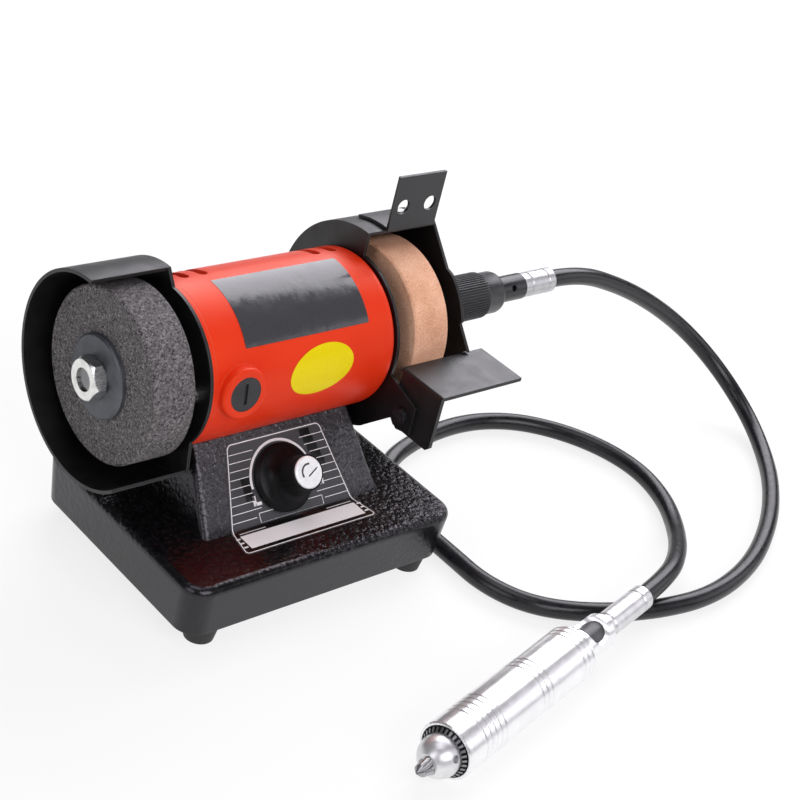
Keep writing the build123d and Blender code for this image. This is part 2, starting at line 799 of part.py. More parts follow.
with BuildPart() as right_outer_flange:
    revolve(outer_flange(1), axis=spindle_axis)


def wheel_nut(start):
    """Hexagon nut with chamfered corners on the spindle."""
    corner = nut_flats / sqrt(3)
    with BuildPart() as nut:
        extrude(hexagon(along(start), nut_flats), amount=nut_height)
        extrude(disc(along(start), wheel_bore_radius), amount=nut_height, mode=Mode.SUBTRACT)
        revolve(outline(
            spindle_section,
            (start, 0), (start, nut_flats / 2), (start + corner - nut_flats / 2, corner),
            (start + nut_height - corner + nut_flats / 2, corner), (start + nut_height, nut_flats / 2),
            (start + nut_height, 0),
        ), axis=spindle_axis, mode=Mode.INTERSECT)
    return nut


left_wheel_nut = wheel_nut(-nut_out_x)
right_wheel_nut = wheel_nut(nut_in_x)

with BuildPart() as core_drive_end:
    with BuildSketch(along(shaft_right_x - drive_socket_depth + seat_gap)):
        Rectangle(drive_square, drive_square)
    extrude(amount=drive_socket_depth)
    extrude(disc(along(shaft_right_x + seat_gap), core_radius),
            amount=sleeve_end_x - shaft_right_x - 2 * seat_gap)


# Wheel guards: a side plate with a band round the wheel, open at the front
def crown(shares):
    """Point of a guard's outline from the spindle."""
    return tuple(guard_radius * share for share in shares)


def guard_plate(plane, end_angle, bend_angle, crown_share, step_angle):
    """Side plate of a guard, stepped in at the front to the motor's radius."""
    with BuildSketch(plane) as face:
        with BuildLine():
            rim = CenterArc((0, 0), guard_radius, end_angle, bend_angle + 360 - end_angle)
            top = TangentArc(rim @ 1, crown(crown_share), tangent=rim % 1)
            front = CenterArc((0, 0), guard_front_radius, step_angle, guard_lower_step_angle - step_angle)
            Line(top @ 1, front @ 0)
            Line(front @ 1, rim @ 0)
        make_face()
        Circle(guard_hole_radius, mode=Mode.SUBTRACT)
    return face.sketch


def guard_band(plane, end_angle, bend_angle, crown_share):
    """Edge of the band that is bent round the wheel."""
    with BuildSketch(plane) as face:
        with BuildLine():
            rim = CenterArc((0, 0), guard_radius, end_angle, bend_angle + 360 - end_angle)
            TangentArc(rim @ 1, crown(crown_share), tangent=rim % 1)
            offset(amount=guard_sheet, side=Side.LEFT)
        make_face()
    return face.sketch


def guard_screw_holes(plane):
    """Three holes for the screws that hold a guard to the motor."""
    with BuildSketch(plane) as face:
        with PolarLocations(guard_screw_circle_radius, 3, start_angle=60):
            Circle(guard_screw_radius + seat_gap)
    return face.sketch


left_rim = (guard_end_angle, guard_left_bend_angle, guard_left_crown_share)
right_rim = (guard_right_end_angle, guard_right_bend_angle, guard_right_crown_share)
with BuildPart() as left_guard:
    start = along(-barrel_half)
    extrude(guard_plate(start, *left_rim, guard_left_step_angle), amount=-guard_sheet)
    extrude(guard_band(start, *left_rim), amount=-guard_left_depth)
    extrude(guard_screw_holes(start), amount=-guard_sheet, mode=Mode.SUBTRACT)

tab_outer = guard_radius - guard_sheet / 2
bracket_x = barrel_half + bracket_offset
bracket_mid_x = bracket_x + bracket_width / 2
bracket_screw_mid_x = bracket_mid_x + bracket_screw_shift
bracket_screw_xs = [bracket_screw_mid_x + side * bracket_screw_spacing / 2 for side in (-1, 1)]
with BuildPart() as right_guard:
    start = along(barrel_half)
    extrude(guard_plate(start, *right_rim, guard_right_step_angle), amount=guard_sheet)
    extrude(guard_band(start, *right_rim), amount=guard_right_depth)
    extrude(outline(start, *(tuple(guard_radius * share for share in point) for point in ear_shares)),
            amount=guard_sheet)
    with BuildSketch(along(cover_x - guard_sheet)):
        for angle in cover_screw_angles:
            with PolarLocations(tab_outer - cover_tab_length / 2, 1, start_angle=angle):
                Rectangle(cover_tab_length, cover_tab_width)
                Circle(cover_screw_radius + seat_gap, mode=Mode.SUBTRACT)
    extrude(amount=guard_sheet)
    extrude(guard_screw_holes(start), amount=guard_sheet, mode=Mode.SUBTRACT)
    with BuildSketch(start):
        with Locations((-rest_bolt_forward, -rest_bolt_drop)):
            Circle(rest_bolt_radius + seat_gap)
    extrude(amount=guard_sheet, mode=Mode.SUBTRACT)
    for x in bracket_screw_xs:
        extrude(disc(radial(x, bracket_screw_angle).offset(wheel_radius), bracket_screw_radius + seat_gap),
                amount=guard_radius - wheel_radius + cut_over, mode=Mode.SUBTRACT)

with BuildPart() as right_guard_cover:
    with BuildSketch(along(cover_x)):
        with BuildLine():
            rim = CenterArc((0, 0), guard_radius, guard_right_end_angle,
                            guard_right_bend_angle + 360 - guard_right_end_angle)
            top = TangentArc(rim @ 1, crown(guard_right_crown_share), tangent=rim % 1)
            Polyline(top @ 1, *(crown(shares) for shares in cover_front_shares), rim @ 0)
        make_face()
        Circle(guard_hole_radius, mode=Mode.SUBTRACT)
    extrude(amount=guard_sheet)
    with BuildSketch(along(cover_x)):
        for angle in cover_screw_angles:
            with PolarLocations(tab_outer - cover_tab_length / 2, 1, start_angle=angle):
                Circle(cover_screw_radius + seat_gap)
    extrude(amount=guard_sheet, mode=Mode.SUBTRACT)


def pan_screws(planes, radius, head_radius, head_height, bite):
    """Screws whose heads sit on these planes, with the shanks behind them."""
    with BuildPart() as screws:
        for plane in planes:
            extrude(disc(plane, head_radius), amount=head_height)
            extrude(disc(plane, radius), amount=-bite)
    return screws


def around(x, circle, angles, side):
    """Planes on a circle about the spindle that face outwards along X."""
    return [
        Plane(origin=(x, spindle_y + circle * cos(radians(angle)), spindle_z + circle * sin(radians(angle))),
              x_dir=(0, 1, 0), z_dir=(side, 0, 0))
        for angle in angles
    ]


guard_seat_x = barrel_half + guard_sheet
guard_screws = pan_screws(
    around(-guard_seat_x, guard_screw_circle_radius, (60, 180, 300), -1)
    + around(guard_seat_x, guard_screw_circle_radius, (60, 180, 300), 1),
    guard_screw_radius, guard_screw_head_radius, guard_screw_head_height,
    guard_sheet + guard_screw_bite_length)
cover_screws = pan_screws(
    around(cover_out_x, tab_outer - cover_tab_length / 2, cover_screw_angles, 1),
    cover_screw_radius, cover_screw_head_radius, cover_screw_head_height,
    guard_sheet + cover_screw_bite_length)

# Eye shield bracket: a strip on the top of the right guard with a tab that stands up at its front
strip_radius = guard_radius + seat_gap + bracket_sheet
tab_front = -guard_right_crown_share[0] * guard_radius + seat_gap + bracket_sheet
tab_top = strip_radius + bracket_height - bracket_sheet
with BuildPart() as eye_shield_bracket:
    with BuildSketch(along(bracket_x)):
        with BuildLine():
            strip_start = bracket_end_angle - bracket_flange_angle
            over = CenterArc((0, 0), strip_radius, strip_start, bracket_flange_angle)
            under = CenterArc((0, 0), strip_radius - bracket_sheet, strip_start, bracket_flange_angle)
            Line(over @ 0, under @ 0)
            Line(over @ 1, under @ 1)
        make_face()
    extrude(amount=bracket_width)
    with BuildSketch(Plane(origin=(bracket_mid_x, spindle_y - tab_front, spindle_z), x_dir=(1, 0, 0),
                           z_dir=(0, 1, 0))):
        with Locations((0, -(tab_top + strip_radius - bracket_sheet) / 2)):
            Rectangle(bracket_width, tab_top - strip_radius + bracket_sheet)
        with Locations((0, -(tab_top - bracket_hole_down))):
            with GridLocations(bracket_hole_spacing, bracket_hole_spacing, 2, 1):
                Circle(bracket_hole_radius, mode=Mode.SUBTRACT)
    extrude(amount=bracket_sheet)
    for x in bracket_screw_xs:
        extrude(disc(radial(x, bracket_screw_angle).offset(wheel_radius), bracket_screw_radius + seat_gap),
                amount=strip_radius - wheel_radius + cut_over, mode=Mode.SUBTRACT)

bracket_seats = [radial(x, bracket_screw_angle).offset(strip_radius) for x in bracket_screw_xs]
bracket_nut_top = guard_radius - guard_sheet - 2 * seat_gap
with BuildPart() as bracket_screws:
    for seat in bracket_seats:
        extrude(disc(seat, bracket_screw_head_radius), amount=bracket_screw_head_height)
        extrude(disc(seat, bracket_screw_radius), amount=bracket_nut_top - bracket_nut_height - strip_radius)
        extrude(hexagon(seat.offset(bracket_nut_top - strip_radius), bracket_nut_flats),
                amount=-bracket_nut_height)

# Tool rest: an angle of sheet, clamped through a slot
slot_half = rest_bolt_radius + 2 * run_gap
with BuildPart() as tool_rest:
    with BuildSketch(along(rest_plate_x)):
        with BuildLine():
            Polyline(
                (-rest_plate_rear, -rest_drop), (-rest_plate_rear, rest_corner - rest_plate_drop),
                (-rest_plate_rear - rest_corner, -rest_plate_drop),
                (rest_corner - rest_front, -rest_plate_drop),
                (-rest_front, rest_corner - rest_plate_drop), (-rest_front, -rest_drop),
                close=True,
            )
        make_face()
        with Locations((rest_travel / 2 - rest_bolt_forward, -rest_bolt_drop)):
            SlotOverall(rest_travel + 2 * slot_half, 2 * slot_half, mode=Mode.SUBTRACT)
    extrude(amount=rest_sheet)
    with BuildSketch(Plane.XY.offset(rest_top_z)):
        with Locations((rest_plate_x + rest_length / 2, spindle_y - rest_rear - rest_depth / 2)):
            Rectangle(rest_length, rest_depth)
    extrude(amount=-rest_sheet)
    bend = tool_rest.edges().filter_by(Axis.Y).group_by(Axis.Z)[-1].sort_by(Axis.X)[0]
    fillet(bend, rest_bend_radius)

rest_bolt_seat = Plane(origin=(barrel_half, spindle_y - rest_bolt_forward, spindle_z - rest_bolt_drop),
                       x_dir=(0, 1, 0), z_dir=(-1, 0, 0))
rest_nut_depth = guard_sheet + rest_sheet + 3 * seat_gap
with BuildPart() as tool_rest_bolt:
    extrude(disc(rest_bolt_seat, rest_bolt_head_radius), amount=rest_bolt_head_height)
    extrude(disc(rest_bolt_seat, rest_bolt_radius), amount=-rest_nut_depth - rest_nut_height)
    extrude(hexagon(rest_bolt_seat.offset(-rest_nut_depth), rest_nut_flats), amount=-rest_nut_height)

# Flexible shaft coupling: spigot on the cover, union nut, sleeve and crimped ferrule
with BuildPart() as flex_spigot:
    revolve(outline(
        spindle_section,
        (cover_x, spigot_bore_radius), (cover_x, guard_hole_radius - seat_gap),
        (cover_out_x, guard_hole_radius - seat_gap), (cover_out_x, spigot_flange_radius),
        (cover_out_x + spigot_flange, spigot_flange_radius), (cover_out_x + spigot_flange, spigot_radius),
        (spigot_end_x, spigot_radius), (spigot_end_x, spigot_bore_radius),
    ), axis=spindle_axis)

knurl_start_x = nut_end_x - knurl_length
with BuildPart() as coupling_nut:
    revolve(outline(
        spindle_section,
        (nut_start_x, coupling_nut_bore), (nut_start_x, coupling_nut_radius - knurl_groove),
        (nut_start_x + knurl_groove, coupling_nut_radius), (nut_end_x, coupling_nut_radius),
        (nut_end_x, coupling_nose_radius), (nose_end_x, coupling_nose_radius),
        (nose_end_x, sleeve_radius + body_gap), (nut_end_x, sleeve_radius + body_gap),
        (nut_end_x, coupling_nut_bore),
    ), axis=spindle_axis)
    with BuildSketch(along(knurl_start_x)):
        with PolarLocations(coupling_nut_radius, knurl_ribs):
            Rectangle(2 * knurl_groove, 2 * knurl_groove)
    extrude(amount=knurl_length - knurl_groove, mode=Mode.SUBTRACT)
    nose_rim = coupling_nut.edges().filter_by(GeomType.CIRCLE).group_by(Axis.X)[-1].sort_by(SortBy.RADIUS)[-1]
    fillet(nose_rim, coupling_nose_round)

shoulder_end_x = nut_end_x - body_gap
with BuildPart() as coupling_sleeve:
    revolve(outline(
        spindle_section,
        (spigot_end_x + seat_gap, sleeve_bore_radius), (spigot_end_x + seat_gap, sleeve_radius),
        (shoulder_end_x - sleeve_shoulder, sleeve_radius),
        (shoulder_end_x - sleeve_shoulder, sleeve_shoulder_radius),
        (shoulder_end_x, sleeve_shoulder_radius), (shoulder_end_x, sleeve_radius),
        (sleeve_end_x, sleeve_radius), (sleeve_end_x, sleeve_bore_radius),
    ), axis=spindle_axis)
    pin_hole = radial((nose_end_x + sleeve_end_x) / 2, sleeve_pin_hole_angle)
    extrude(disc(pin_hole, sleeve_pin_hole_radius), amount=2 * sleeve_radius, mode=Mode.SUBTRACT)

with BuildPart() as motor_ferrule:
    revolve(outline(spindle_section, *ring(sleeve_end_x, ferrule_end_x, sleeve_bore_radius, ferrule_radius)),
            axis=spindle_axis)
    for share in ferrule_groove_shares:
        x = sleeve_end_x + ferrule_length * share
        revolve(outline(spindle_section, (x, ferrule_radius + seat_gap),
                        (x + ferrule_groove_width / 2, ferrule_radius - ferrule_groove),
                        (x + ferrule_groove_width, ferrule_radius + seat_gap)), axis=spindle_axis,
                mode=Mode.SUBTRACT)

# Speed dial: knob with a flared skirt and a bright cap, on the potentiometer's shaft
cap_base = knob_length - knob_cap_recess
with BuildPart() as speed_knob:
    with BuildSketch(dial_section):
        with BuildLine():
            flare = TangentArc(
                (knob_flare_height, knob_neck_radius),
                (dial_gap + skirt_thickness, skirt_radius - skirt_thickness / 2), tangent=(-1, 0))
            Polyline(
                flare @ 1, (dial_gap + skirt_thickness / 2, skirt_radius), (dial_gap, skirt_radius),
                (dial_gap, skirt_hollow_radius), (dial_gap + skirt_hollow_depth, skirt_hollow_radius),
                (dial_gap + skirt_hollow_depth, dial_shaft_radius + seat_gap),
                (dial_shaft_length + seat_gap, dial_shaft_radius + seat_gap),
                (dial_shaft_length + seat_gap, 0), (cap_base, 0), (cap_base, knob_cap_radius + seat_gap),
                (knob_length, knob_cap_radius + seat_gap),
                (knob_length, knob_tip_radius), flare @ 0)
        make_face()
    revolve(axis=dial_axis)

with BuildPart() as knob_cap:
    extrude(disc(dial_face.offset(cap_base), knob_cap_radius), amount=knob_cap_height)
    fillet(knob_cap.edges().sort_by(dial_axis)[-1], knob_cap_recess)

with BuildPart() as potentiometer_shaft:
    extrude(disc(dial_face.offset(-casting_wall), dial_shaft_radius), amount=casting_wall + dial_shaft_length)

with BuildPart() as potentiometer:
    revolve(outline(
        dial_section,
        (-casting_wall - pot_depth, 0), (-casting_wall - pot_depth, pot_radius),
        (-casting_wall - seat_gap, pot_radius), (-casting_wall - seat_gap, bushing_radius),
        (bushing_length, bushing_radius),
        (bushing_length, dial_shaft_radius + run_gap), (-casting_wall - run_gap, dial_shaft_radius + run_gap),
        (-casting_wall - run_gap, 0),
    ), axis=dial_axis)

# Speed control board on four posts of the bottom plate
board_z = plate_top_z + board_post_height
board_top_z = board_z + board_thickness
with BuildPart() as control_board:
    with BuildSketch(Plane.XY.offset(board_z)):
        with Locations((0, board_y)):
            Rectangle(board_length, board_width)
    extrude(amount=board_thickness)
    with BuildSketch(Plane.XY.offset(plate_top_z)):
        with Locations((0, board_y)):
            with GridLocations(board_length - 2 * board_post_inset, board_width - 2 * board_post_inset, 2, 2):
                Circle(board_post_radius)
    extrude(amount=board_post_height)

sink_pitch = (heat_sink_length - heat_sink_fin) / (heat_sink_fins - 1)
with BuildPart() as board_components:
    with BuildSketch(Plane.XY.offset(board_top_z)):
        with Locations((-board_length / 4, board_y)):
            Circle(choke_radius)
            Circle(choke_radius / 2, mode=Mode.SUBTRACT)
    extrude(amount=choke_height)
    with BuildSketch(Plane.XY.offset(board_top_z)):
        with Locations((board_length / 4, board_y - board_width / 4)):
            Rectangle(capacitor_length, capacitor_width)
    extrude(amount=capacitor_height)
    with BuildSketch(Plane.XY.offset(board_top_z)):
        with Locations((board_length / 4, board_y + board_width / 4)):
            Rectangle(heat_sink_length, heat_sink_width)
    extrude(amount=heat_sink_base)
    with BuildSketch(Plane.XY.offset(board_top_z)):
        with Locations((board_length / 4, board_y + board_width / 4)):
            with GridLocations(sink_pitch, sink_pitch, heat_sink_fins, 1):
                Rectangle(heat_sink_fin, heat_sink_width)
    extrude(amount=heat_sink_height)

# Cord inlet: a rubber bush with a lip outside
with BuildPart() as cord_inlet_bush:
    with BuildSketch(Plane.XZ.offset(-base_depth / 2 - inlet_lip)):
        with Locations((inlet_x, inlet_z)):
            Circle(inlet_lip_radius)
    extrude(amount=inlet_lip - seat_gap)
    with BuildSketch(Plane.XZ.offset(-base_depth / 2 - inlet_lip)):
        with Locations((inlet_x, inlet_z)):
            Circle(inlet_radius)
    extrude(amount=inlet_lip + casting_wall + base_draft)
    with BuildSketch(Plane.XZ.offset(-base_depth / 2 - inlet_lip)):
        with Locations((inlet_x, inlet_z)):
            Circle(inlet_bore_radius)
    extrude(amount=inlet_lip + casting_wall + base_draft, mode=Mode.SUBTRACT)

# Handpiece: a turned aluminium grip with a saddled neck, and the dark tail tube inside it
front_seat_end = hand_bearing_front + hand_bearing_width
rear_seat_end = hand_bearing_rear + hand_bearing_width
seat_radius = hand_bearing_outer + seat_gap
with BuildPart() as handpiece_grip:
    revolve(outline(
        hand_section,
        (0, grip_front_pocket_radius), (0, grip_radius - grip_rim_chamfer), (grip_rim_chamfer, grip_radius),
        (grip_length - grip_round, grip_radius), (grip_length, neck_radius), (grip_end, neck_radius),
        (grip_end, insert_radius + seat_gap), (insert_start, insert_radius + seat_gap),
        (insert_start, grip_bore_radius), (rear_seat_end, grip_bore_radius), (rear_seat_end, seat_radius),
        (hand_bearing_rear, seat_radius), (hand_bearing_rear, grip_bore_radius),
        (front_seat_end, grip_bore_radius), (front_seat_end, seat_radius), (grip_front_pocket, seat_radius),
        (grip_front_pocket, grip_front_pocket_radius),
    ), axis=hand_axis)
    for start, count in zip(groove_starts, groove_counts):
        for step in range(count):
            place = start + step * groove_pitch
            revolve(outline(hand_section, (place, grip_radius + seat_gap),
                            (place + groove_width / 2, grip_radius - groove_depth),
                            (place + groove_width, grip_radius + seat_gap)), axis=hand_axis,
                    mode=Mode.SUBTRACT)
    cut_middle = across(grip_length + neck_length / 2)
    for side in (-1, 1):
        middle = cut_middle.origin + hand_section.y_dir * (side * saddle_cut_offset)
        extrude(disc(Plane(origin=middle, x_dir=hand_line, z_dir=hand_side), saddle_cut_radius),
                amount=neck_radius + cut_over, both=True, mode=Mode.SUBTRACT)

with BuildPart() as tail_tube:
    revolve(outline(hand_section, *ring(
        insert_start + seat_gap, grip_end - seat_gap, insert_bore_radius, insert_radius,
    )), axis=hand_axis)

with BuildPart() as tool_ferrule:
    revolve(outline(hand_section, *ring(grip_end, hand_end, sleeve_bore_radius, tool_ferrule_radius)),
            axis=hand_axis)
    for share in tool_ferrule_groove_shares:
        place = grip_end + tool_ferrule_length * share
        revolve(outline(hand_section, (place, tool_ferrule_radius + seat_gap),
                        (place + ferrule_groove_width / 2, tool_ferrule_radius - ferrule_groove),
                        (place + ferrule_groove_width, tool_ferrule_radius + seat_gap)), axis=hand_axis,
                mode=Mode.SUBTRACT)

hand_bearings = (hand_bearing_front, hand_bearing_rear)
with BuildPart() as hand_bearing_outers:
    for start in hand_bearings:
        revolve(outline(hand_section, *ring(
            start, start + hand_bearing_width, hand_bearing_outer - hand_bearing_race, hand_bearing_outer,
        )), axis=hand_axis)

with BuildPart() as hand_bearing_inners:
    for start in hand_bearings:
        revolve(outline(hand_section, *ring(start, start + hand_bearing_width, hand_spindle_radius + seat_gap,
                                            hand_spindle_radius + hand_bearing_race)), axis=hand_axis)

with BuildPart() as hand_spindle:
    extrude(disc(across(chuck_rear + seat_gap), hand_spindle_radius), amount=insert_start - chuck_rear)


# Drill chuck: body with three slanting bores, toothed ring and jaws
def jaw_plane(angle):
    """Plane across the jaw at this angle, with its origin at the point where the jaws meet."""
    face = across(-jaw_tip, angle)
    lean = radians(jaw_lean)
    return Plane(origin=face.origin, x_dir=face.y_dir, z_dir=face.z_dir * cos(lean) + face.x_dir * sin(lean))


jaw_angles = [90 + step * 360 / jaw_count for step in range(jaw_count)]
jaw_room = jaw_length + jaw_travel + body_gap
with BuildPart() as chuck_body:
    with BuildSketch(hand_section):
        with BuildLine():
            Line((-nose_length, 0), (-nose_length, nose_tip_radius))
            middle = (nose_start - nose_length) / 2 - nose_length * nose_bulge_shares[0]
            middle_radius = (nose_tip_radius + chuck_body_radius) / 2 + nose_length * nose_bulge_shares[1]
            ThreePointArc((-nose_length, nose_tip_radius), (middle, middle_radius),
                          (nose_start, chuck_body_radius))
            Polyline((nose_start, chuck_body_radius), (chuck_rear, chuck_body_radius), (chuck_rear, 0))
            Line((chuck_rear, 0), (-nose_length, 0))
        make_face()
    revolve(axis=hand_axis)
    for angle in jaw_angles:
        extrude(disc(jaw_plane(angle), jaw_radius + run_gap), amount=jaw_room, mode=Mode.SUBTRACT)
        hole = across(-key_hole_back, angle + 180 / jaw_count)
        drill = Plane(origin=hole.origin, x_dir=hole.z_dir, z_dir=hole.x_dir)
        extrude(disc(drill.offset(chuck_body_radius - key_hole_depth), key_hole_radius),
                amount=2 * key_hole_depth, mode=Mode.SUBTRACT)

ring_end = toothed_ring_front + toothed_ring_length
ring_bore = chuck_body_radius + run_gap
with BuildPart() as chuck_ring:
    revolve(outline(
        hand_section,
        (toothed_ring_front, ring_bore), (toothed_ring_front, toothed_ring_radius - toothed_ring_chamfer / 2),
        (toothed_ring_front + toothed_ring_chamfer, toothed_ring_radius), (ring_end, toothed_ring_radius),
        (ring_end, ring_bore),
    ), axis=hand_axis)
    with BuildSketch(across(toothed_ring_front)):
        with PolarLocations(toothed_ring_radius, sleeve_teeth):
            Rectangle(toothed_ring_radius - ring_bore, tooth_width)
    extrude(amount=tooth_depth, mode=Mode.SUBTRACT)


def chuck_jaw(angle):
    """Round jaw, split from its neighbours and ground to a point."""
    with BuildPart() as jaw:
        extrude(disc(jaw_plane(angle), jaw_radius), amount=jaw_length)
        extrude(disc(jaw_plane(angle), jaw_radius), amount=-jaw_radius)
        with BuildSketch(across(-jaw_tip, angle)):
            with BuildLine():
                half = radians(180 / jaw_count)
                apex = jaw_split / sin(half)
                far = 2 * chuck_body_radius
                reach = apex + far * cos(half)
                Polyline((apex, 0), (reach, -far * sin(half)), (reach, far * sin(half)), close=True)
            make_face()
        extrude(amount=jaw_length, mode=Mode.INTERSECT)
        revolve(outline(hand_section, (-jaw_tip, 0), (jaw_cone_radius - jaw_tip, jaw_cone_radius),
                        (jaw_length - jaw_tip, chuck_body_radius), (jaw_length - jaw_tip, 0)), axis=hand_axis,
                mode=Mode.INTERSECT)
    return jaw


chuck_jaws = [chuck_jaw(angle) for angle in jaw_angles]

# Flexible sheath: straight runs with an arc at each point, as wide as its runs allow
first_point = Vector(ferrule_end_x, spindle_y, spindle_z)
last_point = hand_front + hand_line * hand_end
last_bend = last_point + hand_line * sheath_lead
route = [first_point, *(Vector(*point) for point in sheath_route), last_bend, last_point]
runs = [end - start for start, end in zip(route, route[1:])]
bends = []
for before, after in zip(runs, runs[1:]):
    turn = radians(before.get_angle(after))
    bends.append(sheath_bend_share * min(before.length, after.length) / tan(turn / 2))
with BuildPart() as flex_sheath:
    with BuildLine() as sheath_line:
        FilletPolyline(*route, radius=bends)
    with BuildSketch(Plane(origin=first_point, z_dir=runs[0])):
        Circle(sheath_radius)
    sweep(path=sheath_line.wires()[0])
sheath_length = sheath_line.wires()[0].length
print("sheath bends", sorted(round(bend) for bend in bends))
print("sheath runs", [round(run.length) for run in runs])
print("sheath length", round(sheath_length), "volume share",
      round(flex_sheath.part.volume / (sheath_length * pi * sheath_radius ** 2), 4))

pieces = {
    "base_casting": base_casting, "bottom_plate": bottom_plate, "rubber_feet": rubber_feet,
    "foot_screws": foot_screws, "motor_housing": motor_housing, "left_end_bell": left_end_bell,
    "motor_screws": motor_screws, "bearing_outer_rings": bearing_outer_rings, "stator_core": stator_core,
    "field_coils": field_coils, "brush_holders": brush_holders, "carbon_brushes": carbon_brushes,
    "brush_springs": brush_springs, "brush_caps": brush_caps, "left_guard": left_guard,
    "right_guard": right_guard, "right_guard_cover": right_guard_cover, "guard_screws": guard_screws,
    "cover_screws": cover_screws, "eye_shield_bracket": eye_shield_bracket, "bracket_screws": bracket_screws,
    "tool_rest": tool_rest, "tool_rest_bolt": tool_rest_bolt, "flex_spigot": flex_spigot,
    "coupling_nut": coupling_nut, "coupling_sleeve": coupling_sleeve, "motor_ferrule": motor_ferrule,
    "flex_sheath": flex_sheath, "tool_ferrule": tool_ferrule, "handpiece_grip": handpiece_grip,
    "tail_tube": tail_tube, "hand_bearing_outers": hand_bearing_outers, "potentiometer": potentiometer,
    "control_board": control_board, "board_components": board_components, "cord_inlet_bush": cord_inlet_bush,
    "armature_shaft": armature_shaft, "armature_core": armature_core, "armature_windings": armature_windings,
    "commutator": commutator, "cooling_fan": cooling_fan, "bearing_inner_rings": bearing_inner_rings,
    "inner_flanges": inner_flanges, "left_outer_flange": left_outer_flange,
    "right_outer_flange": right_outer_flange, "grey_wheel": grey_wheel, "brown_wheel": brown_wheel,
    "left_wheel_nut": left_wheel_nut, "right_wheel_nut": right_wheel_nut, "core_drive_end": core_drive_end,
    "hand_spindle": hand_spindle, "hand_bearing_inners": hand_bearing_inners, "chuck_body": chuck_body,
    "chuck_ring": chuck_ring, "chuck_jaw_1": chuck_jaws[0], "chuck_jaw_2": chuck_jaws[1],
    "chuck_jaw_3": chuck_jaws[2], "speed_knob": speed_knob, "knob_cap": knob_cap,
    "potentiometer_shaft": potentiometer_shaft,
}
for name, piece in pieces.items():
    piece.part.label = name
    export_step(piece.part, f"parts/{name}.step")
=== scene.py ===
from math import cos, pi, radians, sin

import bmesh
import bpy
from mathutils import Matrix, Vector


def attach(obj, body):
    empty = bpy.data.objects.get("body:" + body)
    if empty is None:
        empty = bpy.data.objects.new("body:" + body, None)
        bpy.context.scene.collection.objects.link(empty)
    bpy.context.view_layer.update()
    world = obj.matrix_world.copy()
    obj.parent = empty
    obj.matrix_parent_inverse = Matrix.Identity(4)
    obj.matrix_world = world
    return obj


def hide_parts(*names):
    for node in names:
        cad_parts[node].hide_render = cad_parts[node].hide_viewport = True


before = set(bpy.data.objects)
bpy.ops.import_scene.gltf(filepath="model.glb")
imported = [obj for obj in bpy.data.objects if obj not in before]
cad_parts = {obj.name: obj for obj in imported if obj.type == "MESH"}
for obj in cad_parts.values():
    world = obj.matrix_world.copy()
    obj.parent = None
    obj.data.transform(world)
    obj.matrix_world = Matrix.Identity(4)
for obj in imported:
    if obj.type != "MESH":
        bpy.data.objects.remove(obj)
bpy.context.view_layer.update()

# Camera: a long lens at the photograph's place, tipped a little to one side.
# Its frame is square, and a small shift puts the lens's middle where it is in the photograph.
camera = bpy.data.objects.new("camera", bpy.data.cameras.new("camera"))
bpy.context.scene.collection.objects.link(camera)
camera.data.lens = 77.94
camera.data.sensor_width = 36.0
camera.data.shift_x = 0.02783
camera.data.shift_y = -0.02695
camera.data.clip_start = 0.05
camera_right = Vector((0.741816, -0.634439, 0.217247))
camera_up = Vector((0.183323, 0.503472, 0.844340))
camera_back = Vector((-0.645060, -0.586518, 0.489790))
camera_turn = Matrix((camera_right, camera_up, camera_back)).transposed().to_4x4()
camera_place = Vector((-0.447399, -0.462776, 0.457787))
camera.matrix_world = Matrix.Translation(camera_place) @ camera_turn
bpy.context.scene.camera = camera


# Studio: a lit sheet of white board under the machine in a dim room, and five soft boxes.
# The brightest stands high on the right, a wide one in front, and three weak ones fill in.
def finish(name, **uniform):
    """New material whose uniform values are set on the shader's own sockets."""
    material = bpy.data.materials.new(name)
    material.use_nodes = True
    shader = material.node_tree.nodes["Principled BSDF"]
    for socket, value in uniform.items():
        shader.inputs[socket.replace("_", " ").title().replace("Ior", "IOR")].default_value = value
    return material


def add(material, kind, inputs, **settings):
    """New node of a material. An input is a value or another node's output."""
    tree = material.node_tree
    made = tree.nodes.new(kind)
    for setting, value in settings.items():
        setattr(made, setting, value)
    for socket, value in inputs.items():
        if isinstance(value, bpy.types.NodeSocket):
            tree.links.new(value, made.inputs[socket])
        else:
            made.inputs[socket].default_value = value
    return made


def feed(material, **sockets):
    """Joins node outputs to the shader's sockets."""
    shader = material.node_tree.nodes["Principled BSDF"]
    for socket, output in sockets.items():
        material.node_tree.links.new(output, shader.inputs[socket.replace("_", " ").title()])


def place(material):
    """Position on the piece, in metres."""
    return add(material, "ShaderNodeTexCoord", {}).outputs["Object"]


def noise(material, where, scale, detail=3.0):
    """Cloudy pattern with this many lumps to the metre."""
    inputs = {"Vector": where, "Scale": scale, "Detail": detail}
    return add(material, "ShaderNodeTexNoise", inputs).outputs["Fac"]


def shades(material, factor, *stops):
    """Colours along a ramp, each stop a share and a colour or a grey."""
    ramp = add(material, "ShaderNodeValToRGB", {"Fac": factor})
    points = ramp.color_ramp.elements
    while len(points) < len(stops):
        points.new(1.0)
    for point, (share, colour) in zip(points, stops):
        point.position = share
        point.color = (*colour, 1.0) if isinstance(colour, tuple) else (colour, colour, colour, 1.0)
    return ramp.outputs["Color"]


def make_piece(bm, name, *materials, crease=35.0):
    """Turns a bmesh into an object at the origin, smooth but for edges sharper than the crease."""
    mesh = bpy.data.meshes.new(name)
    bm.to_mesh(mesh)
    bm.free()
    mesh.shade_smooth()
    mesh.set_sharp_from_angle(angle=radians(crease))
    for material in materials:
        mesh.materials.append(material)
    piece = bpy.data.objects.new(name, mesh)
    bpy.context.scene.collection.objects.link(piece)
    return piece


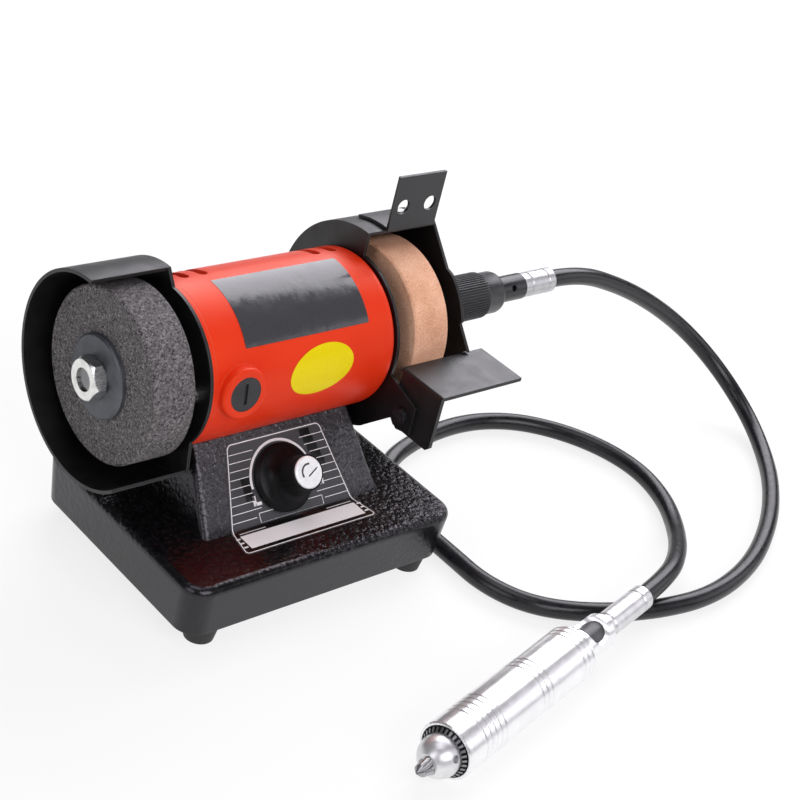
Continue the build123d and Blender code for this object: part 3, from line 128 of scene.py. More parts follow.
board_size = 30.0
board_drop = 0.0004
pale_board = finish("pale_board", Roughness=0.85, Emission_Color=(1.0, 1.0, 1.0, 1.0),
                    Emission_Strength=0.8)
board_cloud = noise(pale_board, place(pale_board), 3.0)
feed(pale_board, base_color=shades(pale_board, board_cloud, (0.3, 0.15), (0.7, 0.17)))
board = bmesh.new()
bmesh.ops.create_grid(board, x_segments=8, y_segments=8, size=board_size,
                      matrix=Matrix.Translation((0, 0, -board_drop)))
make_piece(board, "floor_board", pale_board)

lamp_tint = (1.0, 0.975, 1.035)


def soft_box(name, where, aim, width, height, power):
    """Rectangular soft light that points from one place at another."""
    lamp = bpy.data.objects.new(name, bpy.data.lights.new(name, "AREA"))
    lamp.data.shape = "RECTANGLE"
    lamp.data.size = width
    lamp.data.size_y = height
    lamp.data.energy = power
    lamp.data.color = lamp_tint
    lamp.location = where
    lamp.rotation_euler = (Vector(aim) - Vector(where)).to_track_quat("-Z", "Y").to_euler()
    bpy.context.scene.collection.objects.link(lamp)


soft_box("key_box", (0.98, 0.60, 0.96), (0.05, 0.0, 0.07), 1.5, 0.92, 22.0)
soft_box("front_box", (-0.15, -1.5, 1.1), (0.05, 0.0, 0.06), 1.5, 0.9, 18.0)
soft_box("overhead_box", (-0.1, 0.1, 1.4), (0.05, 0.0, 0.05), 0.9, 0.7, 4.0)
soft_box("left_box", (-1.3, -0.2, 0.8), (0.0, 0.0, 0.09), 0.7, 0.9, 4.5)
soft_box("right_card", (1.15, -0.70, 0.50), (0.03, -0.05, 0.05), 0.9, 0.62, 2.4)
studio = bpy.data.worlds.new("studio")
studio.use_nodes = True
room_light = studio.node_tree.nodes["Background"].inputs
room_light["Color"].default_value = (1.0, 1.0, 1.0, 1.0)
room_light["Strength"].default_value = 0.08
bpy.context.scene.world = studio
bpy.context.scene.view_settings.view_transform = "Standard"


# Flexible sheath: a black plastic hose over the turning core, 9 mm thick and about 0.9 m long.
# It leaves the coupling at the spindle's right end, drops to the bench, lies there in one loose
# loop and rises into the back of the handpiece.
def relief(material, height, depth, normal=None):
    """Bumps of this depth in metres, on top of another normal if there is one."""
    inputs = {"Height": height, "Distance": depth, "Strength": 1.0}
    if normal is not None:
        inputs["Normal"] = normal
    return add(material, "ShaderNodeBump", inputs).outputs["Normal"]


def between(material, value, start, end, low=0.0, high=1.0):
    """Brings a value that runs from start to end into the range from low to high."""
    return add(material, "ShaderNodeMapRange", {"Value": value, "From Min": start, "From Max": end,
                                                "To Min": low, "To Max": high}).outputs["Result"]


def spread(material, pattern, low, high):
    """Brings a cloudy pattern, which stays between about 0.3 and 0.7, into the range from low to high."""
    return between(material, pattern, 0.3, 0.7, low, high)


hose_plastic = finish("hose_plastic", Specular_Ior_Level=0.42)
hose_place = place(hose_plastic)
hose_dust = noise(hose_plastic, hose_place, 240.0, 5.0)
hose_skin = noise(hose_plastic, hose_place, 1500.0, 2.0)
feed(hose_plastic,
     base_color=shades(hose_plastic, hose_dust,
                       (0.35, (0.006, 0.006, 0.008)), (0.75, (0.012, 0.012, 0.015))),
     roughness=spread(hose_plastic, hose_dust, 0.26, 0.34),
     normal=relief(hose_plastic, hose_skin, 0.00002))

sheath_diameter = 0.009
sheath_exit = (0.1855, 0.018, 0.0925)
sheath_route = (
    (0.208, 0.018, 0.0925), (0.245, 0.0175, 0.0795), (0.2775, 0.0145, 0.064), (0.310, 0.0085, 0.0435),
    (0.328, -0.009, 0.0245), (0.330, -0.0345, 0.0095), (0.314, -0.061, 0.0045), (0.291, -0.0845, 0.0045),
    (0.2595, -0.1075, 0.0045), (0.220, -0.127, 0.0045), (0.179, -0.135, 0.0045), (0.1425, -0.1295, 0.0045),
    (0.1105, -0.117, 0.0045), (0.0882, -0.101, 0.0045), (0.0782, -0.0795, 0.0045), (0.0787, -0.055, 0.0045),
    (0.0787, -0.0285, 0.0045), (0.0838, -0.0035, 0.0045), (0.0993, 0.0155, 0.0045), (0.1290, 0.0258, 0.0045),
    (0.1645, 0.029, 0.0045), (0.1925, 0.0205, 0.0045), (0.212, 0.003, 0.0045), (0.2245, -0.020, 0.0045),
    (0.2275, -0.045, 0.0045), (0.2195, -0.069, 0.0045), (0.2025, -0.0905, 0.0065), (0.1795, -0.1095, 0.0125),
)
sheath_end = ((0.154027, -0.123386, 0.015996), (0.129512, -0.128262, 0.015508))
sheath_curve = bpy.data.curves.new("flexible_sheath", "CURVE")
sheath_curve.dimensions = "3D"
sheath_curve.bevel_depth = sheath_diameter / 2
sheath_curve.bevel_resolution = 8
sheath_curve.resolution_u = 16
sheath_curve.use_fill_caps = True
sheath_points = (sheath_exit, *sheath_route, *sheath_end)
sheath_line = sheath_curve.splines.new("NURBS")
sheath_line.points.add(len(sheath_points) - 1)
for point, where in zip(sheath_line.points, sheath_points):
    point.co = (*where, 1.0)
sheath_line.order_u = 3
sheath_line.use_endpoint_u = True
sheath_curve.materials.append(hose_plastic)
flexible_sheath = bpy.data.objects.new("flexible_sheath", sheath_curve)
bpy.context.scene.collection.objects.link(flexible_sheath)
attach(flexible_sheath, "stand")
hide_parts("flex_sheath")


# Base casting: deck, skirt and motor pedestal cast in one piece of iron.
# It is sprayed with thick black hammer paint, which dries in shiny lumps 2 to 3 mm wide. They are
# flatter on the walls and at the deck's front left. The pedestal is greyer, partly from its paint's own
# tone and partly as painted light; its left-facing sides keep the dark tone as painted shade.
def soft_edges(material, radius):
    """Normal that rounds the sharp edges of a piece by this radius in metres."""
    return add(material, "ShaderNodeBevel", {"Radius": radius}, samples=4).outputs["Normal"]


def edge_highlight_share(material, rounded):
    """Share from 0 on flats to 1 on rounded edges, where a painted highlight is laid."""
    flat = add(material, "ShaderNodeNewGeometry", {}).outputs["Normal"]
    match = add(material, "ShaderNodeVectorMath", {0: rounded, 1: flat}, operation="DOT_PRODUCT")
    return between(material, match.outputs["Value"], 0.995, 0.93)


def blend_colours(material, factor, first, second):
    """Mix of two colours, each an output or a plain colour."""
    colours = [colour if isinstance(colour, bpy.types.NodeSocket) else (*colour, 1.0)
               for colour in (first, second)]
    mix = add(material, "ShaderNodeMix", {"Factor": factor, 6: colours[0], 7: colours[1]}, data_type="RGBA")
    return mix.outputs[2]


def blend_values(material, operation, first, second):
    """Two patterns joined by a sum, a product or the like."""
    return add(material, "ShaderNodeMath", {0: first, 1: second}, operation=operation).outputs["Value"]


def dress(material, *names):
    """Gives the solids of these names this material."""
    for name in names:
        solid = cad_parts[name]
        if not solid.material_slots:
            solid.data.materials.append(material)
        for slot in solid.material_slots:
            slot.material = material


lump_scale = 430.0
lump_drift = 0.0035
lump_depth = 0.0010
grain_share = 0.35
wall_share = 0.1
corner_share = 0.15
corner_across = (-0.03, 0.06)
corner_back = (-0.035, 0.01)
pedestal_foot = (0.0325, 0.036)
left_slant = (-0.6, -0.2)
hammer_paint = finish("hammer_paint", Specular_Ior_Level=0.47, Specular_Tint=(0.97, 0.92, 1.0, 1.0))
hammer_place = place(hammer_paint)
hammer_drift = add(hammer_paint, "ShaderNodeTexNoise",
                   {"Vector": hammer_place, "Scale": 260.0}).outputs["Color"]
hammer_bent = add(hammer_paint, "ShaderNodeVectorMath",
                  {0: hammer_drift, 1: (lump_drift, lump_drift, lump_drift), 2: hammer_place},
                  operation="MULTIPLY_ADD")
hammer_cells = add(hammer_paint, "ShaderNodeTexVoronoi",
                   {"Vector": hammer_bent.outputs["Vector"], "Scale": lump_scale, "Smoothness": 0.6},
                   feature="SMOOTH_F1").outputs["Distance"]
hammer_fine = noise(hammer_paint, hammer_place, 1100.0, 3.0)
hammer_grain = blend_values(hammer_paint, "MULTIPLY", hammer_fine, grain_share)
hammer_height = blend_values(hammer_paint, "SUBTRACT", hammer_grain, hammer_cells)
hammer_facing = add(hammer_paint, "ShaderNodeNewGeometry", {}).outputs["Normal"]
hammer_aspect = add(hammer_paint, "ShaderNodeSeparateXYZ", {"Vector": hammer_facing}).outputs
hammer_axes = add(hammer_paint, "ShaderNodeSeparateXYZ", {"Vector": hammer_place}).outputs
hammer_pool = between(hammer_paint, hammer_aspect["Z"], 0.0, 1.0, wall_share)
hammer_right = between(hammer_paint, hammer_axes["X"], *corner_across, corner_share)
hammer_rear = between(hammer_paint, hammer_axes["Y"], *corner_back, corner_share)
hammer_reach = blend_values(hammer_paint, "MAXIMUM", hammer_right, hammer_rear)
hammer_depth = blend_values(hammer_paint, "MULTIPLY", hammer_pool, hammer_reach)
hammer_lumps = blend_values(hammer_paint, "MULTIPLY", hammer_height, hammer_depth)
hammer_edge = soft_edges(hammer_paint, 0.0008)
# Pedestal faces above its foot that do not face left get the greyer tone: partly the paint's own tone and
# partly painted light. Left-facing sides keep the dark tone as painted shade.
hammer_above = between(hammer_paint, hammer_axes["Z"], *pedestal_foot)
hammer_not_left = between(hammer_paint, hammer_aspect["X"], *left_slant)
pedestal_grey_and_painted_light = blend_values(hammer_paint, "MULTIPLY", hammer_above, hammer_not_left)
hammer_dark_tone = shades(hammer_paint, hammer_cells,
                           (0.1, (0.008, 0.008, 0.009)), (0.6, (0.003, 0.003, 0.0035)))
pedestal_grey_and_lit_tone = shades(hammer_paint, hammer_fine,
                          (0.35, (0.034, 0.034, 0.037)), (0.65, (0.056, 0.056, 0.060)))
feed(hammer_paint,
     base_color=blend_colours(hammer_paint, pedestal_grey_and_painted_light, hammer_dark_tone, pedestal_grey_and_lit_tone),
     roughness=spread(hammer_paint, noise(hammer_paint, hammer_place, 90.0), 0.18, 0.28),
     normal=relief(hammer_paint, hammer_lumps, lump_depth, hammer_edge))
dress(hammer_paint, "base_casting")


# Bottom plate and feet: a pressed steel plate that closes the base from below, painted black.
# A turned rubber foot sits under each corner, and a zinc screw through its middle holds both.
def powder_coat(name, tone, edge_highlight_tone, gloss, edge_radius=0.0004):
    """Baked black paint on sheet steel: a fine orange peel, and paler rounded edges that are a painted
    highlight.
    """
    paint = finish(name, Specular_Ior_Level=0.5)
    where = place(paint)
    rounded = soft_edges(paint, edge_radius)
    cloud = noise(paint, where, 130.0, 4.0)
    peel = noise(paint, where, 2600.0, 2.0)
    body = shades(paint, cloud, (0.3, tuple(0.75 * c for c in tone)), (0.75, tuple(1.3 * c for c in tone)))
    # The paler rounded edges are a painted highlight, dappled by the cloud.
    painted_edge_highlight = blend_values(paint, "MULTIPLY", edge_highlight_share(paint, rounded), spread(paint, cloud, 0.35, 1.0))
    feed(paint, base_color=blend_colours(paint, painted_edge_highlight, body, edge_highlight_tone),
         roughness=spread(paint, cloud, gloss - 0.05, gloss + 0.07),
         normal=relief(paint, peel, 0.00005, rounded))
    return paint


def moulded(name, low_tone, high_tone, gloss, grain_depth, edge_radius=0.0005, glint=0.45):
    """Moulded rubber or plastic: a fine grain, a cloudy tone and softer edges."""
    stuff = finish(name, Specular_Ior_Level=glint)
    where = place(stuff)
    grain = noise(stuff, where, 1900.0, 4.0)
    patch = noise(stuff, where, 110.0, 4.0)
    feed(stuff, base_color=shades(stuff, patch, (0.3, low_tone), (0.75, high_tone)),
         roughness=spread(stuff, patch, gloss - 0.06, gloss + 0.06),
         normal=relief(stuff, grain, grain_depth, soft_edges(stuff, edge_radius)))
    return stuff


def plated(name, low_tone, high_tone, gloss, edge_radius=0.0003, shine=1.0):
    """Plated steel: bright, with faint clouds and hairline scratches. Less shine gives a satin skin."""
    metal = finish(name, Metallic=shine)
    where = place(metal)
    cloud = noise(metal, where, 320.0, 5.0)
    stretched = add(metal, "ShaderNodeMapping",
                    {"Vector": where, "Scale": (1.0, 14.0, 1.0)}).outputs["Vector"]
    hairline = noise(metal, stretched, 420.0, 6.0)
    feed(metal, base_color=shades(metal, cloud, (0.3, low_tone), (0.7, high_tone)),
         roughness=spread(metal, hairline, gloss - 0.08, gloss + 0.1),
         normal=relief(metal, hairline, 0.00003, soft_edges(metal, edge_radius)))
    return metal


plate_paint = powder_coat("plate_paint", (0.018, 0.018, 0.019), (0.05, 0.05, 0.05), 0.5)
foot_rubber = moulded("foot_rubber", (0.009, 0.009, 0.009), (0.022, 0.022, 0.022), 0.62, 0.00008)
screw_zinc = plated("screw_zinc", (0.5, 0.5, 0.48), (0.72, 0.72, 0.7), 0.3)
dress(plate_paint, "bottom_plate")
dress(foot_rubber, "rubber_feet", "cord_inlet_bush")
dress(screw_zinc, "foot_screws")


# Control label: a printed film on the pedestal's slope that runs on over the front of the deck.
# It is dark grey with a thin white line round it, and the strip on the deck is black.
def film(name, low_tone, high_tone, gloss, tint=(1.0, 1.0, 1.0, 1.0)):
    """Printed plastic film: smooth and a little glossy, with faint ripples from its glue."""
    sheet = finish(name, Specular_Ior_Level=0.5, Specular_Tint=tint)
    where = place(sheet)
    ripple = noise(sheet, where, 160.0, 3.0)
    speck = noise(sheet, where, 3000.0, 2.0)
    feed(sheet, base_color=shades(sheet, speck, (0.35, low_tone), (0.65, high_tone)),
         roughness=spread(sheet, ripple, gloss - 0.05, gloss + 0.06),
         normal=relief(sheet, ripple, 0.00012))
    return sheet


slope_foot = Vector((-0.001, -0.029, 0.032))
slope_lean = radians(40.0)
slope_frame = Matrix.Translation(slope_foot) @ Matrix.Rotation(radians(90.0) - slope_lean, 4, "X")
deck_frame = Matrix.Translation(slope_foot)
label_lift = 0.00012
label_top_half = 0.026
label_fold_half = 0.034
label_front_half = 0.037
label_height = 0.0372
strip_depth = 0.015
label_corner = 0.0028
label_fold = 0.0016
label_margin = 0.0007
label_line = 0.00045
label_rows = ((slope_frame, label_top_half, label_height), (deck_frame, label_fold_half, 0.0),
              (deck_frame, label_front_half, -strip_depth))
label_grey = film("label_grey", (0.048, 0.048, 0.053), (0.066, 0.066, 0.071), 0.34)
label_white = film("label_white", (0.84, 0.84, 0.83), (0.92, 0.92, 0.91), 0.38)
label_black = film("label_black", (0.002, 0.002, 0.002), (0.005, 0.005, 0.005), 0.3)
white_slot = 1
black_slot = 2

label = bmesh.new()
row_edge = None
for row_frame, half_width, up in label_rows:
    ends = [row_frame @ Vector((side * half_width, up, label_lift)) for side in (-1, 1)]
    if row_edge is None:
        row_edge = label.edges.new([label.verts.new(end) for end in ends])
        continue
    grown = bmesh.ops.extrude_edge_only(label, edges=[row_edge])["geom"]
    row_edge = next(part for part in grown if isinstance(part, bmesh.types.BMEdge))
    for vert, end in zip(sorted(row_edge.verts, key=lambda v: v.co.x), ends):
        vert.co = end
corners = [vert for vert in label.verts if len(vert.link_edges) == 2]
bmesh.ops.bevel(label, geom=corners, offset=label_corner, affect="VERTICES", segments=6, profile=0.5,
                material=-1)
folds = [edge for edge in label.edges if len(edge.link_faces) == 2]
bmesh.ops.bevel(label, geom=folds, offset=label_fold, affect="EDGES", segments=5, profile=0.5,
                material=-1)
bmesh.ops.recalc_face_normals(label, faces=label.faces)
if sum(face.normal.z for face in label.faces) < 0:
    bmesh.ops.reverse_faces(label, faces=label.faces)
inner = list(label.faces)
bmesh.ops.inset_region(label, faces=inner, thickness=label_margin, use_boundary=True, use_even_offset=True)
rim = bmesh.ops.inset_region(label, faces=inner, thickness=label_line, use_boundary=True,
                             use_even_offset=True)
for face in rim["faces"]:
    face.material_index = white_slot
for face in inner:
    if face.calc_center_median().y < slope_foot.y:
        face.material_index = black_slot
control_label = make_piece(label, "control_label", label_grey, label_white, label_black)
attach(control_label, "stand")


# Print on the label: white ink lines beside the dial, a dial arc with a tick at each end, black
# scale blocks, an empty frame below and a plain white panel on the strip. All is screen ink.
ink_lift = 0.00008
white_ink = 0
black_ink = 1


def stripe(bm, base, x, up, width, height, ink=white_ink, lift=ink_lift):
    """Flat bar of ink with its middle at x and up on a face."""
    at = base @ Matrix.Translation((x, up, label_lift + lift)) @ Matrix.Diagonal((width, height, 1.0, 1.0))
    made = bmesh.ops.create_grid(bm, x_segments=1, y_segments=1, size=0.5, matrix=at)
    for face in {face for vert in made["verts"] for face in vert.link_faces}:
        face.material_index = ink


def ink_arc(bm, base, centre, radii, start, sweep, steps=40, lift=ink_lift):
    """Flat arc of ink round a point of a face, from its start angle through its sweep."""
    middle = base @ Vector((*centre, label_lift + lift))
    axis = base.to_3x3() @ Vector((0, 0, 1))
    first = [bm.verts.new(base @ Vector((centre[0] + radius * cos(radians(start)),
                                         centre[1] + radius * sin(radians(start)), label_lift + lift)))
             for radius in radii]
    edge = bm.edges.new(first)
    bmesh.ops.spin(bm, geom=[*first, edge], cent=middle, axis=axis, angle=radians(sweep), steps=steps)


dial_across = -0.001
dial_up = 0.0171
dial_clear = 0.0185
dial_arc = (0.0161, 0.0173)
dial_start = 20.0
dial_sweep = 165.0
dial_ticks = ((-1, 0.0182, 0.0105), (1, 0.0196, 0.0118))
tick_size = (0.0017, 0.0044)
tick_foot = (0.0034, 0.0014)
tick_foot_drop = 0.0015
line_count = 9
line_pitch = 0.00355
line_width = 0.0003
line_margin = 0.0012
shortest_line = 0.002
label_taper = 0.008 / 0.036
knob_clear = 0.013
frame_clear = 0.019
frame_width = 0.035
frame_height = 0.0042
frame_up = 0.0029
right_blocks = (5, 9.5, 0.0165, 0.0011, 0.0056)
left_blocks = (3, 5.5, -0.0206, 0.0002, 0.0044)
panel_up = -0.0077
panel_size = (0.0635, 0.0086)
bar_count = 3
bar_across = 0.0336
bar_up = -0.0048
bar_pitch = 0.0028
bar_size = (0.0022, 0.0009)
dash_across = 0.024
dash_up = -0.0021
dash_size = (0.014, 0.0004)
print_ink = bmesh.new()
for step in range(1, line_count + 1):
    up = line_pitch * step
    half = label_fold_half - label_taper * up - line_margin
    reach = max(dial_clear ** 2 - (up - dial_up) ** 2, 0.0) ** 0.5
    reach = max(reach, frame_clear if up < 2 * frame_up else knob_clear)
    if half - reach < shortest_line:
        continue
    for side in (-1, 1):
        stripe(print_ink, slope_frame, side * (half + reach) / 2, up, half - reach, line_width)
ink_arc(print_ink, slope_frame, (dial_across, dial_up), dial_arc, dial_start, dial_sweep, steps=48)
for side, tick_across, up in dial_ticks:
    stripe(print_ink, slope_frame, side * tick_across, up, *tick_size)
    stripe(print_ink, slope_frame, side * (tick_across - tick_size[0]), up - tick_foot_drop, *tick_foot)
for count, top_row, across, shift, width in (right_blocks, left_blocks):
    for step in range(count):
        stripe(print_ink, slope_frame, across + shift * step, line_pitch * (top_row - step), width,
               line_pitch - line_width, black_ink)
for side in (-1, 1):
    stripe(print_ink, slope_frame, 0.0, frame_up + side * frame_height / 2, frame_width, line_width)
    stripe(print_ink, slope_frame, side * frame_width / 2, frame_up, line_width, frame_height)
stripe(print_ink, deck_frame, 0.0, panel_up, *panel_size)
for side in (-1, 1):
    for step in range(bar_count):
        stripe(print_ink, deck_frame, side * bar_across, bar_up - bar_pitch * step, *bar_size)
    stripe(print_ink, deck_frame, side * dash_across, dash_up, *dash_size)
label_print = make_piece(print_ink, "label_print", label_white, label_black)
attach(label_print, "stand")


# Speed knob: a black moulded knob with a flared skirt, pushed on the control's steel shaft.
# A bright pressed cap closes its top, with a dark pointer line and arc printed on it.
knob_plastic = moulded("knob_plastic", (0.004, 0.004, 0.0045), (0.009, 0.009, 0.010), 0.36, 0.00002,
                       glint=0.14)
cap_metal = plated("cap_metal", (0.86, 0.86, 0.86), (0.95, 0.95, 0.95), 0.36, shine=0.35)
mark_ink = film("mark_ink", (0.02, 0.02, 0.022), (0.04, 0.04, 0.045), 0.4)
dress(knob_plastic, "speed_knob")
dress(cap_metal, "knob_cap")

cap_top = 0.0198
cap_lift = 0.00001
cap_arc = (0.0032, 0.004)
cap_arc_start = 75.0
cap_arc_sweep = 130.0
pointer_turn = radians(28.0)
pointer_middle = (0.0016, -0.0012)
pointer_size = (0.006, 0.0006)
cap_frame = slope_frame @ Matrix.Translation((dial_across, dial_up, cap_top))
pointer_frame = cap_frame @ Matrix.Rotation(pointer_turn, 4, "Z")
cap_print = bmesh.new()
ink_arc(cap_print, cap_frame, (0.0, 0.0), cap_arc, cap_arc_start, cap_arc_sweep, lift=cap_lift)
stripe(cap_print, pointer_frame, *pointer_middle, *pointer_size, lift=cap_lift)
cap_mark = make_piece(cap_print, "cap_mark", mark_ink)
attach(cap_mark, "speed_knob")


# Speed control inside the base: a potentiometer on the slope's back, and a circuit board on four
# posts that carries a choke, a capacitor and a finned heat sink. Boards are green glass fibre.
board_green = moulded("board_green", (0.012, 0.085, 0.03), (0.02, 0.13, 0.05), 0.4, 0.00003)
component_grey = moulded("component_grey", (0.06, 0.06, 0.065), (0.14, 0.14, 0.15), 0.45, 0.00004)
control_steel = plated("control_steel", (0.4, 0.41, 0.42), (0.6, 0.6, 0.61), 0.34)
dress(board_green, "control_board")
dress(component_grey, "board_components")
dress(control_steel, "potentiometer", "potentiometer_shaft")


# Motor housing: a die-cast barrel with its right end, closed on the left by an end bell.
# Both are sprayed satin orange, with a painted salmon highlight on their rounded edges, and two steel screws
# from below hold the barrel to its pedestal.
shell_paint = finish("shell_paint", Specular_Ior_Level=0.42, Specular_Tint=(1.0, 0.5, 0.25, 1.0))
shell_place = place(shell_paint)
shell_cloud = noise(shell_paint, shell_place, 45.0, 4.0)
shell_peel = noise(shell_paint, shell_place, 1700.0, 2.0)
shell_round = soft_edges(shell_paint, 0.0006)
shell_edge_highlight = edge_highlight_share(shell_paint, shell_round)
shell_tone = shades(shell_paint, shell_cloud, (0.3, (0.72, 0.028, 0.005)), (0.75, (0.78, 0.036, 0.007)))
# Rounded edges are mixed a third of the way to pale salmon: a painted highlight.
feed(shell_paint,
     base_color=blend_colours(shell_paint, blend_values(shell_paint, "MULTIPLY", shell_edge_highlight, 0.35),
                              shell_tone, (0.88, 0.16, 0.08)),
     roughness=spread(shell_paint, shell_cloud, 0.36, 0.46),
     normal=relief(shell_paint, shell_peel, 0.00003, shell_round))
dress(shell_paint, "motor_housing", "left_end_bell")
dress(screw_zinc, "motor_screws")


# Data plate and oval sticker on the barrel: two plain plastic films, glued on.
# The plate is glossy dark grey, and the oval is glossy yellow.
barrel_radius = 0.036
spindle = Vector((0, 0.018, 0.0925))


def wrap_on_barrel(bm, lift):
    """Bends a flat film, drawn as length along x and arc length along y, round the barrel."""
    for vert in bm.verts:
        angle = vert.co.y / barrel_radius
        reach = barrel_radius + lift + vert.co.z
        vert.co = spindle + Vector((vert.co.x, -reach * cos(angle), reach * sin(angle)))


plate_film = film("plate_film", (0.045, 0.045, 0.049), (0.06, 0.06, 0.064), 0.16)
plate_ends = (-0.0325, 0.0343)
plate_angles = (34.5, 90.0)
plate_corner = 0.0008
plate_lift = 0.00012
plate_middle = Vector((sum(plate_ends) / 2, barrel_radius * radians(sum(plate_angles) / 2), 0))
plate_arc = barrel_radius * radians(plate_angles[1] - plate_angles[0])
plate_half = ((plate_ends[1] - plate_ends[0]) / 2, plate_arc / 2)
plate = bmesh.new()
bmesh.ops.create_grid(plate, x_segments=2, y_segments=28, size=1.0,
                      matrix=Matrix.Translation(plate_middle) @ Matrix.Diagonal((*plate_half, 1.0, 1.0)))
plate_corners = [vert for vert in plate.verts if len(vert.link_edges) == 2]
bmesh.ops.bevel(plate, geom=plate_corners, offset=plate_corner, affect="VERTICES", segments=4, profile=0.5,
                material=-1)
wrap_on_barrel(plate, plate_lift)
data_plate = make_piece(plate, "data_plate", plate_film)
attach(data_plate, "stand")

oval_film = film("oval_film", (0.76, 0.60, 0.001), (0.84, 0.67, 0.002), 0.26, (1.0, 0.85, 0.15, 1.0))
oval_middle = Vector((0.0074, barrel_radius * radians(9.0), 0))
oval_half = (0.0172, 0.0112)
oval_tilt = radians(8.0)
oval_lift = 0.00014
oval_rings = 9
ring_width = 0.1
oval = bmesh.new()
bmesh.ops.create_circle(oval, cap_ends=True, segments=72, radius=1.0)
for _ in range(oval_rings):
    bmesh.ops.inset_region(oval, faces=[min(oval.faces, key=lambda face: face.calc_center_median().length)],
                           thickness=ring_width, use_boundary=True)
bmesh.ops.transform(oval, verts=oval.verts, matrix=Matrix.Translation(oval_middle)
                    @ Matrix.Rotation(oval_tilt, 4, "Z") @ Matrix.Diagonal((*oval_half, 1.0, 1.0)))
wrap_on_barrel(oval, oval_lift)
oval_sticker = make_piece(oval, "oval_sticker", oval_film)
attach(oval_sticker, "stand")


# Brush gear: slotted caps of dark moulded resin screw into the bosses at the barrel's left end.
# Behind each, a steel spring in a brass holder presses a carbon brush on the commutator.
cap_resin = moulded("cap_resin", (0.016, 0.016, 0.018), (0.034, 0.034, 0.038), 0.42, 0.00005, glint=0.35)
holder_brass = plated("holder_brass", (0.6, 0.42, 0.16), (0.78, 0.58, 0.26), 0.32)
brush_carbon = moulded("brush_carbon", (0.012, 0.012, 0.012), (0.03, 0.03, 0.03), 0.55, 0.00006)
spring_steel = plated("spring_steel", (0.4, 0.41, 0.42), (0.58, 0.58, 0.6), 0.3)
dress(cap_resin, "brush_caps")
dress(holder_brass, "brush_holders")
dress(brush_carbon, "carbon_brushes")
dress(spring_steel, "brush_springs")


# Field and armature: stacks of lacquered steel sheets with coils of enamelled copper wire.
# The field is pressed into the barrel, the armature on its shaft, with a commutator and a fan.
def laminated(name, low_tone, high_tone):
    """Stack of half-millimetre sheets along the spindle, lacquered together."""
    stack = finish(name, Metallic=0.6)
    where = place(stack)
    sheets = add(stack, "ShaderNodeTexWave", {"Vector": where, "Scale": 620.0, "Distortion": 0.4},
                 wave_type="BANDS", bands_direction="X").outputs["Fac"]
    feed(stack, base_color=shades(stack, sheets, (0.2, low_tone), (0.8, high_tone)),
         roughness=spread(stack, noise(stack, where, 300.0), 0.42, 0.6),
         normal=relief(stack, sheets, 0.0001))
    return stack


core_sheets = laminated("core_sheets", (0.05, 0.05, 0.055), (0.16, 0.16, 0.17))
coil_wire = finish("coil_wire", Metallic=0.7, Coat_Weight=0.4, Coat_Roughness=0.2)
coil_place = place(coil_wire)
coil_turns = add(coil_wire, "ShaderNodeTexWave", {"Vector": coil_place, "Scale": 520.0, "Distortion": 3.0,
                                                  "Detail": 2.0}, wave_type="BANDS",
                 bands_direction="DIAGONAL").outputs["Fac"]
feed(coil_wire, base_color=shades(coil_wire, coil_turns, (0.2, (0.2, 0.06, 0.02)), (0.8, (0.6, 0.24, 0.09))),
     roughness=spread(coil_wire, coil_turns, 0.3, 0.5), normal=relief(coil_wire, coil_turns, 0.0003))
bar_copper = plated("bar_copper", (0.6, 0.28, 0.14), (0.76, 0.4, 0.22), 0.3)
fan_plastic = moulded("fan_plastic", (0.5, 0.5, 0.47), (0.64, 0.64, 0.61), 0.45, 0.00004)
dress(core_sheets, "stator_core", "armature_core")
dress(coil_wire, "field_coils", "armature_windings")
dress(bar_copper, "commutator")
dress(fan_plastic, "cooling_fan")


# Spindle and bearings: a ground steel shaft right through the motor, in two ball bearings.
# Its ends carry the wheels, and its right end drives the core of the flexible shaft.
def mix_patterns(material, share, first, second):
    """This share of the first pattern and the rest of the second."""
    return blend_values(material, "ADD", blend_values(material, "MULTIPLY", first, share),
                        blend_values(material, "MULTIPLY", second, 1.0 - share))


def turned(name, low_tone, high_tone, gloss, base, pitch, edge_radius=0.0003, shine=1.0):
    """Turned metal: fine tool rings along the line that base's x axis gives, and faint clouds."""
    metal = finish(name, Metallic=shine)
    back = base.inverted()
    where = add(metal, "ShaderNodeMapping", {"Vector": place(metal), "Location": back.to_translation(),
                                             "Rotation": back.to_euler()}).outputs["Vector"]
    rings = add(metal, "ShaderNodeTexWave",
                {"Vector": where, "Scale": 2 * pi / 20 / pitch, "Distortion": 1.2, "Detail": 2.0},
                wave_type="BANDS", bands_direction="X").outputs["Fac"]
    cloud = noise(metal, where, 140.0, 5.0)
    marks = mix_patterns(metal, 0.5, rings, cloud)
    feed(metal, base_color=shades(metal, cloud, (0.3, low_tone), (0.7, high_tone)),
         roughness=spread(metal, marks, gloss - 0.07, gloss + 0.09),
         normal=relief(metal, rings, 0.000012, soft_edges(metal, edge_radius)))
    return metal


spindle_frame = Matrix.Translation(spindle)
shaft_steel = turned("shaft_steel", (0.16, 0.16, 0.165), (0.26, 0.26, 0.265), 0.28, spindle_frame, 0.0003)
dress(shaft_steel, "armature_shaft", "bearing_outer_rings", "bearing_inner_rings", "core_drive_end")


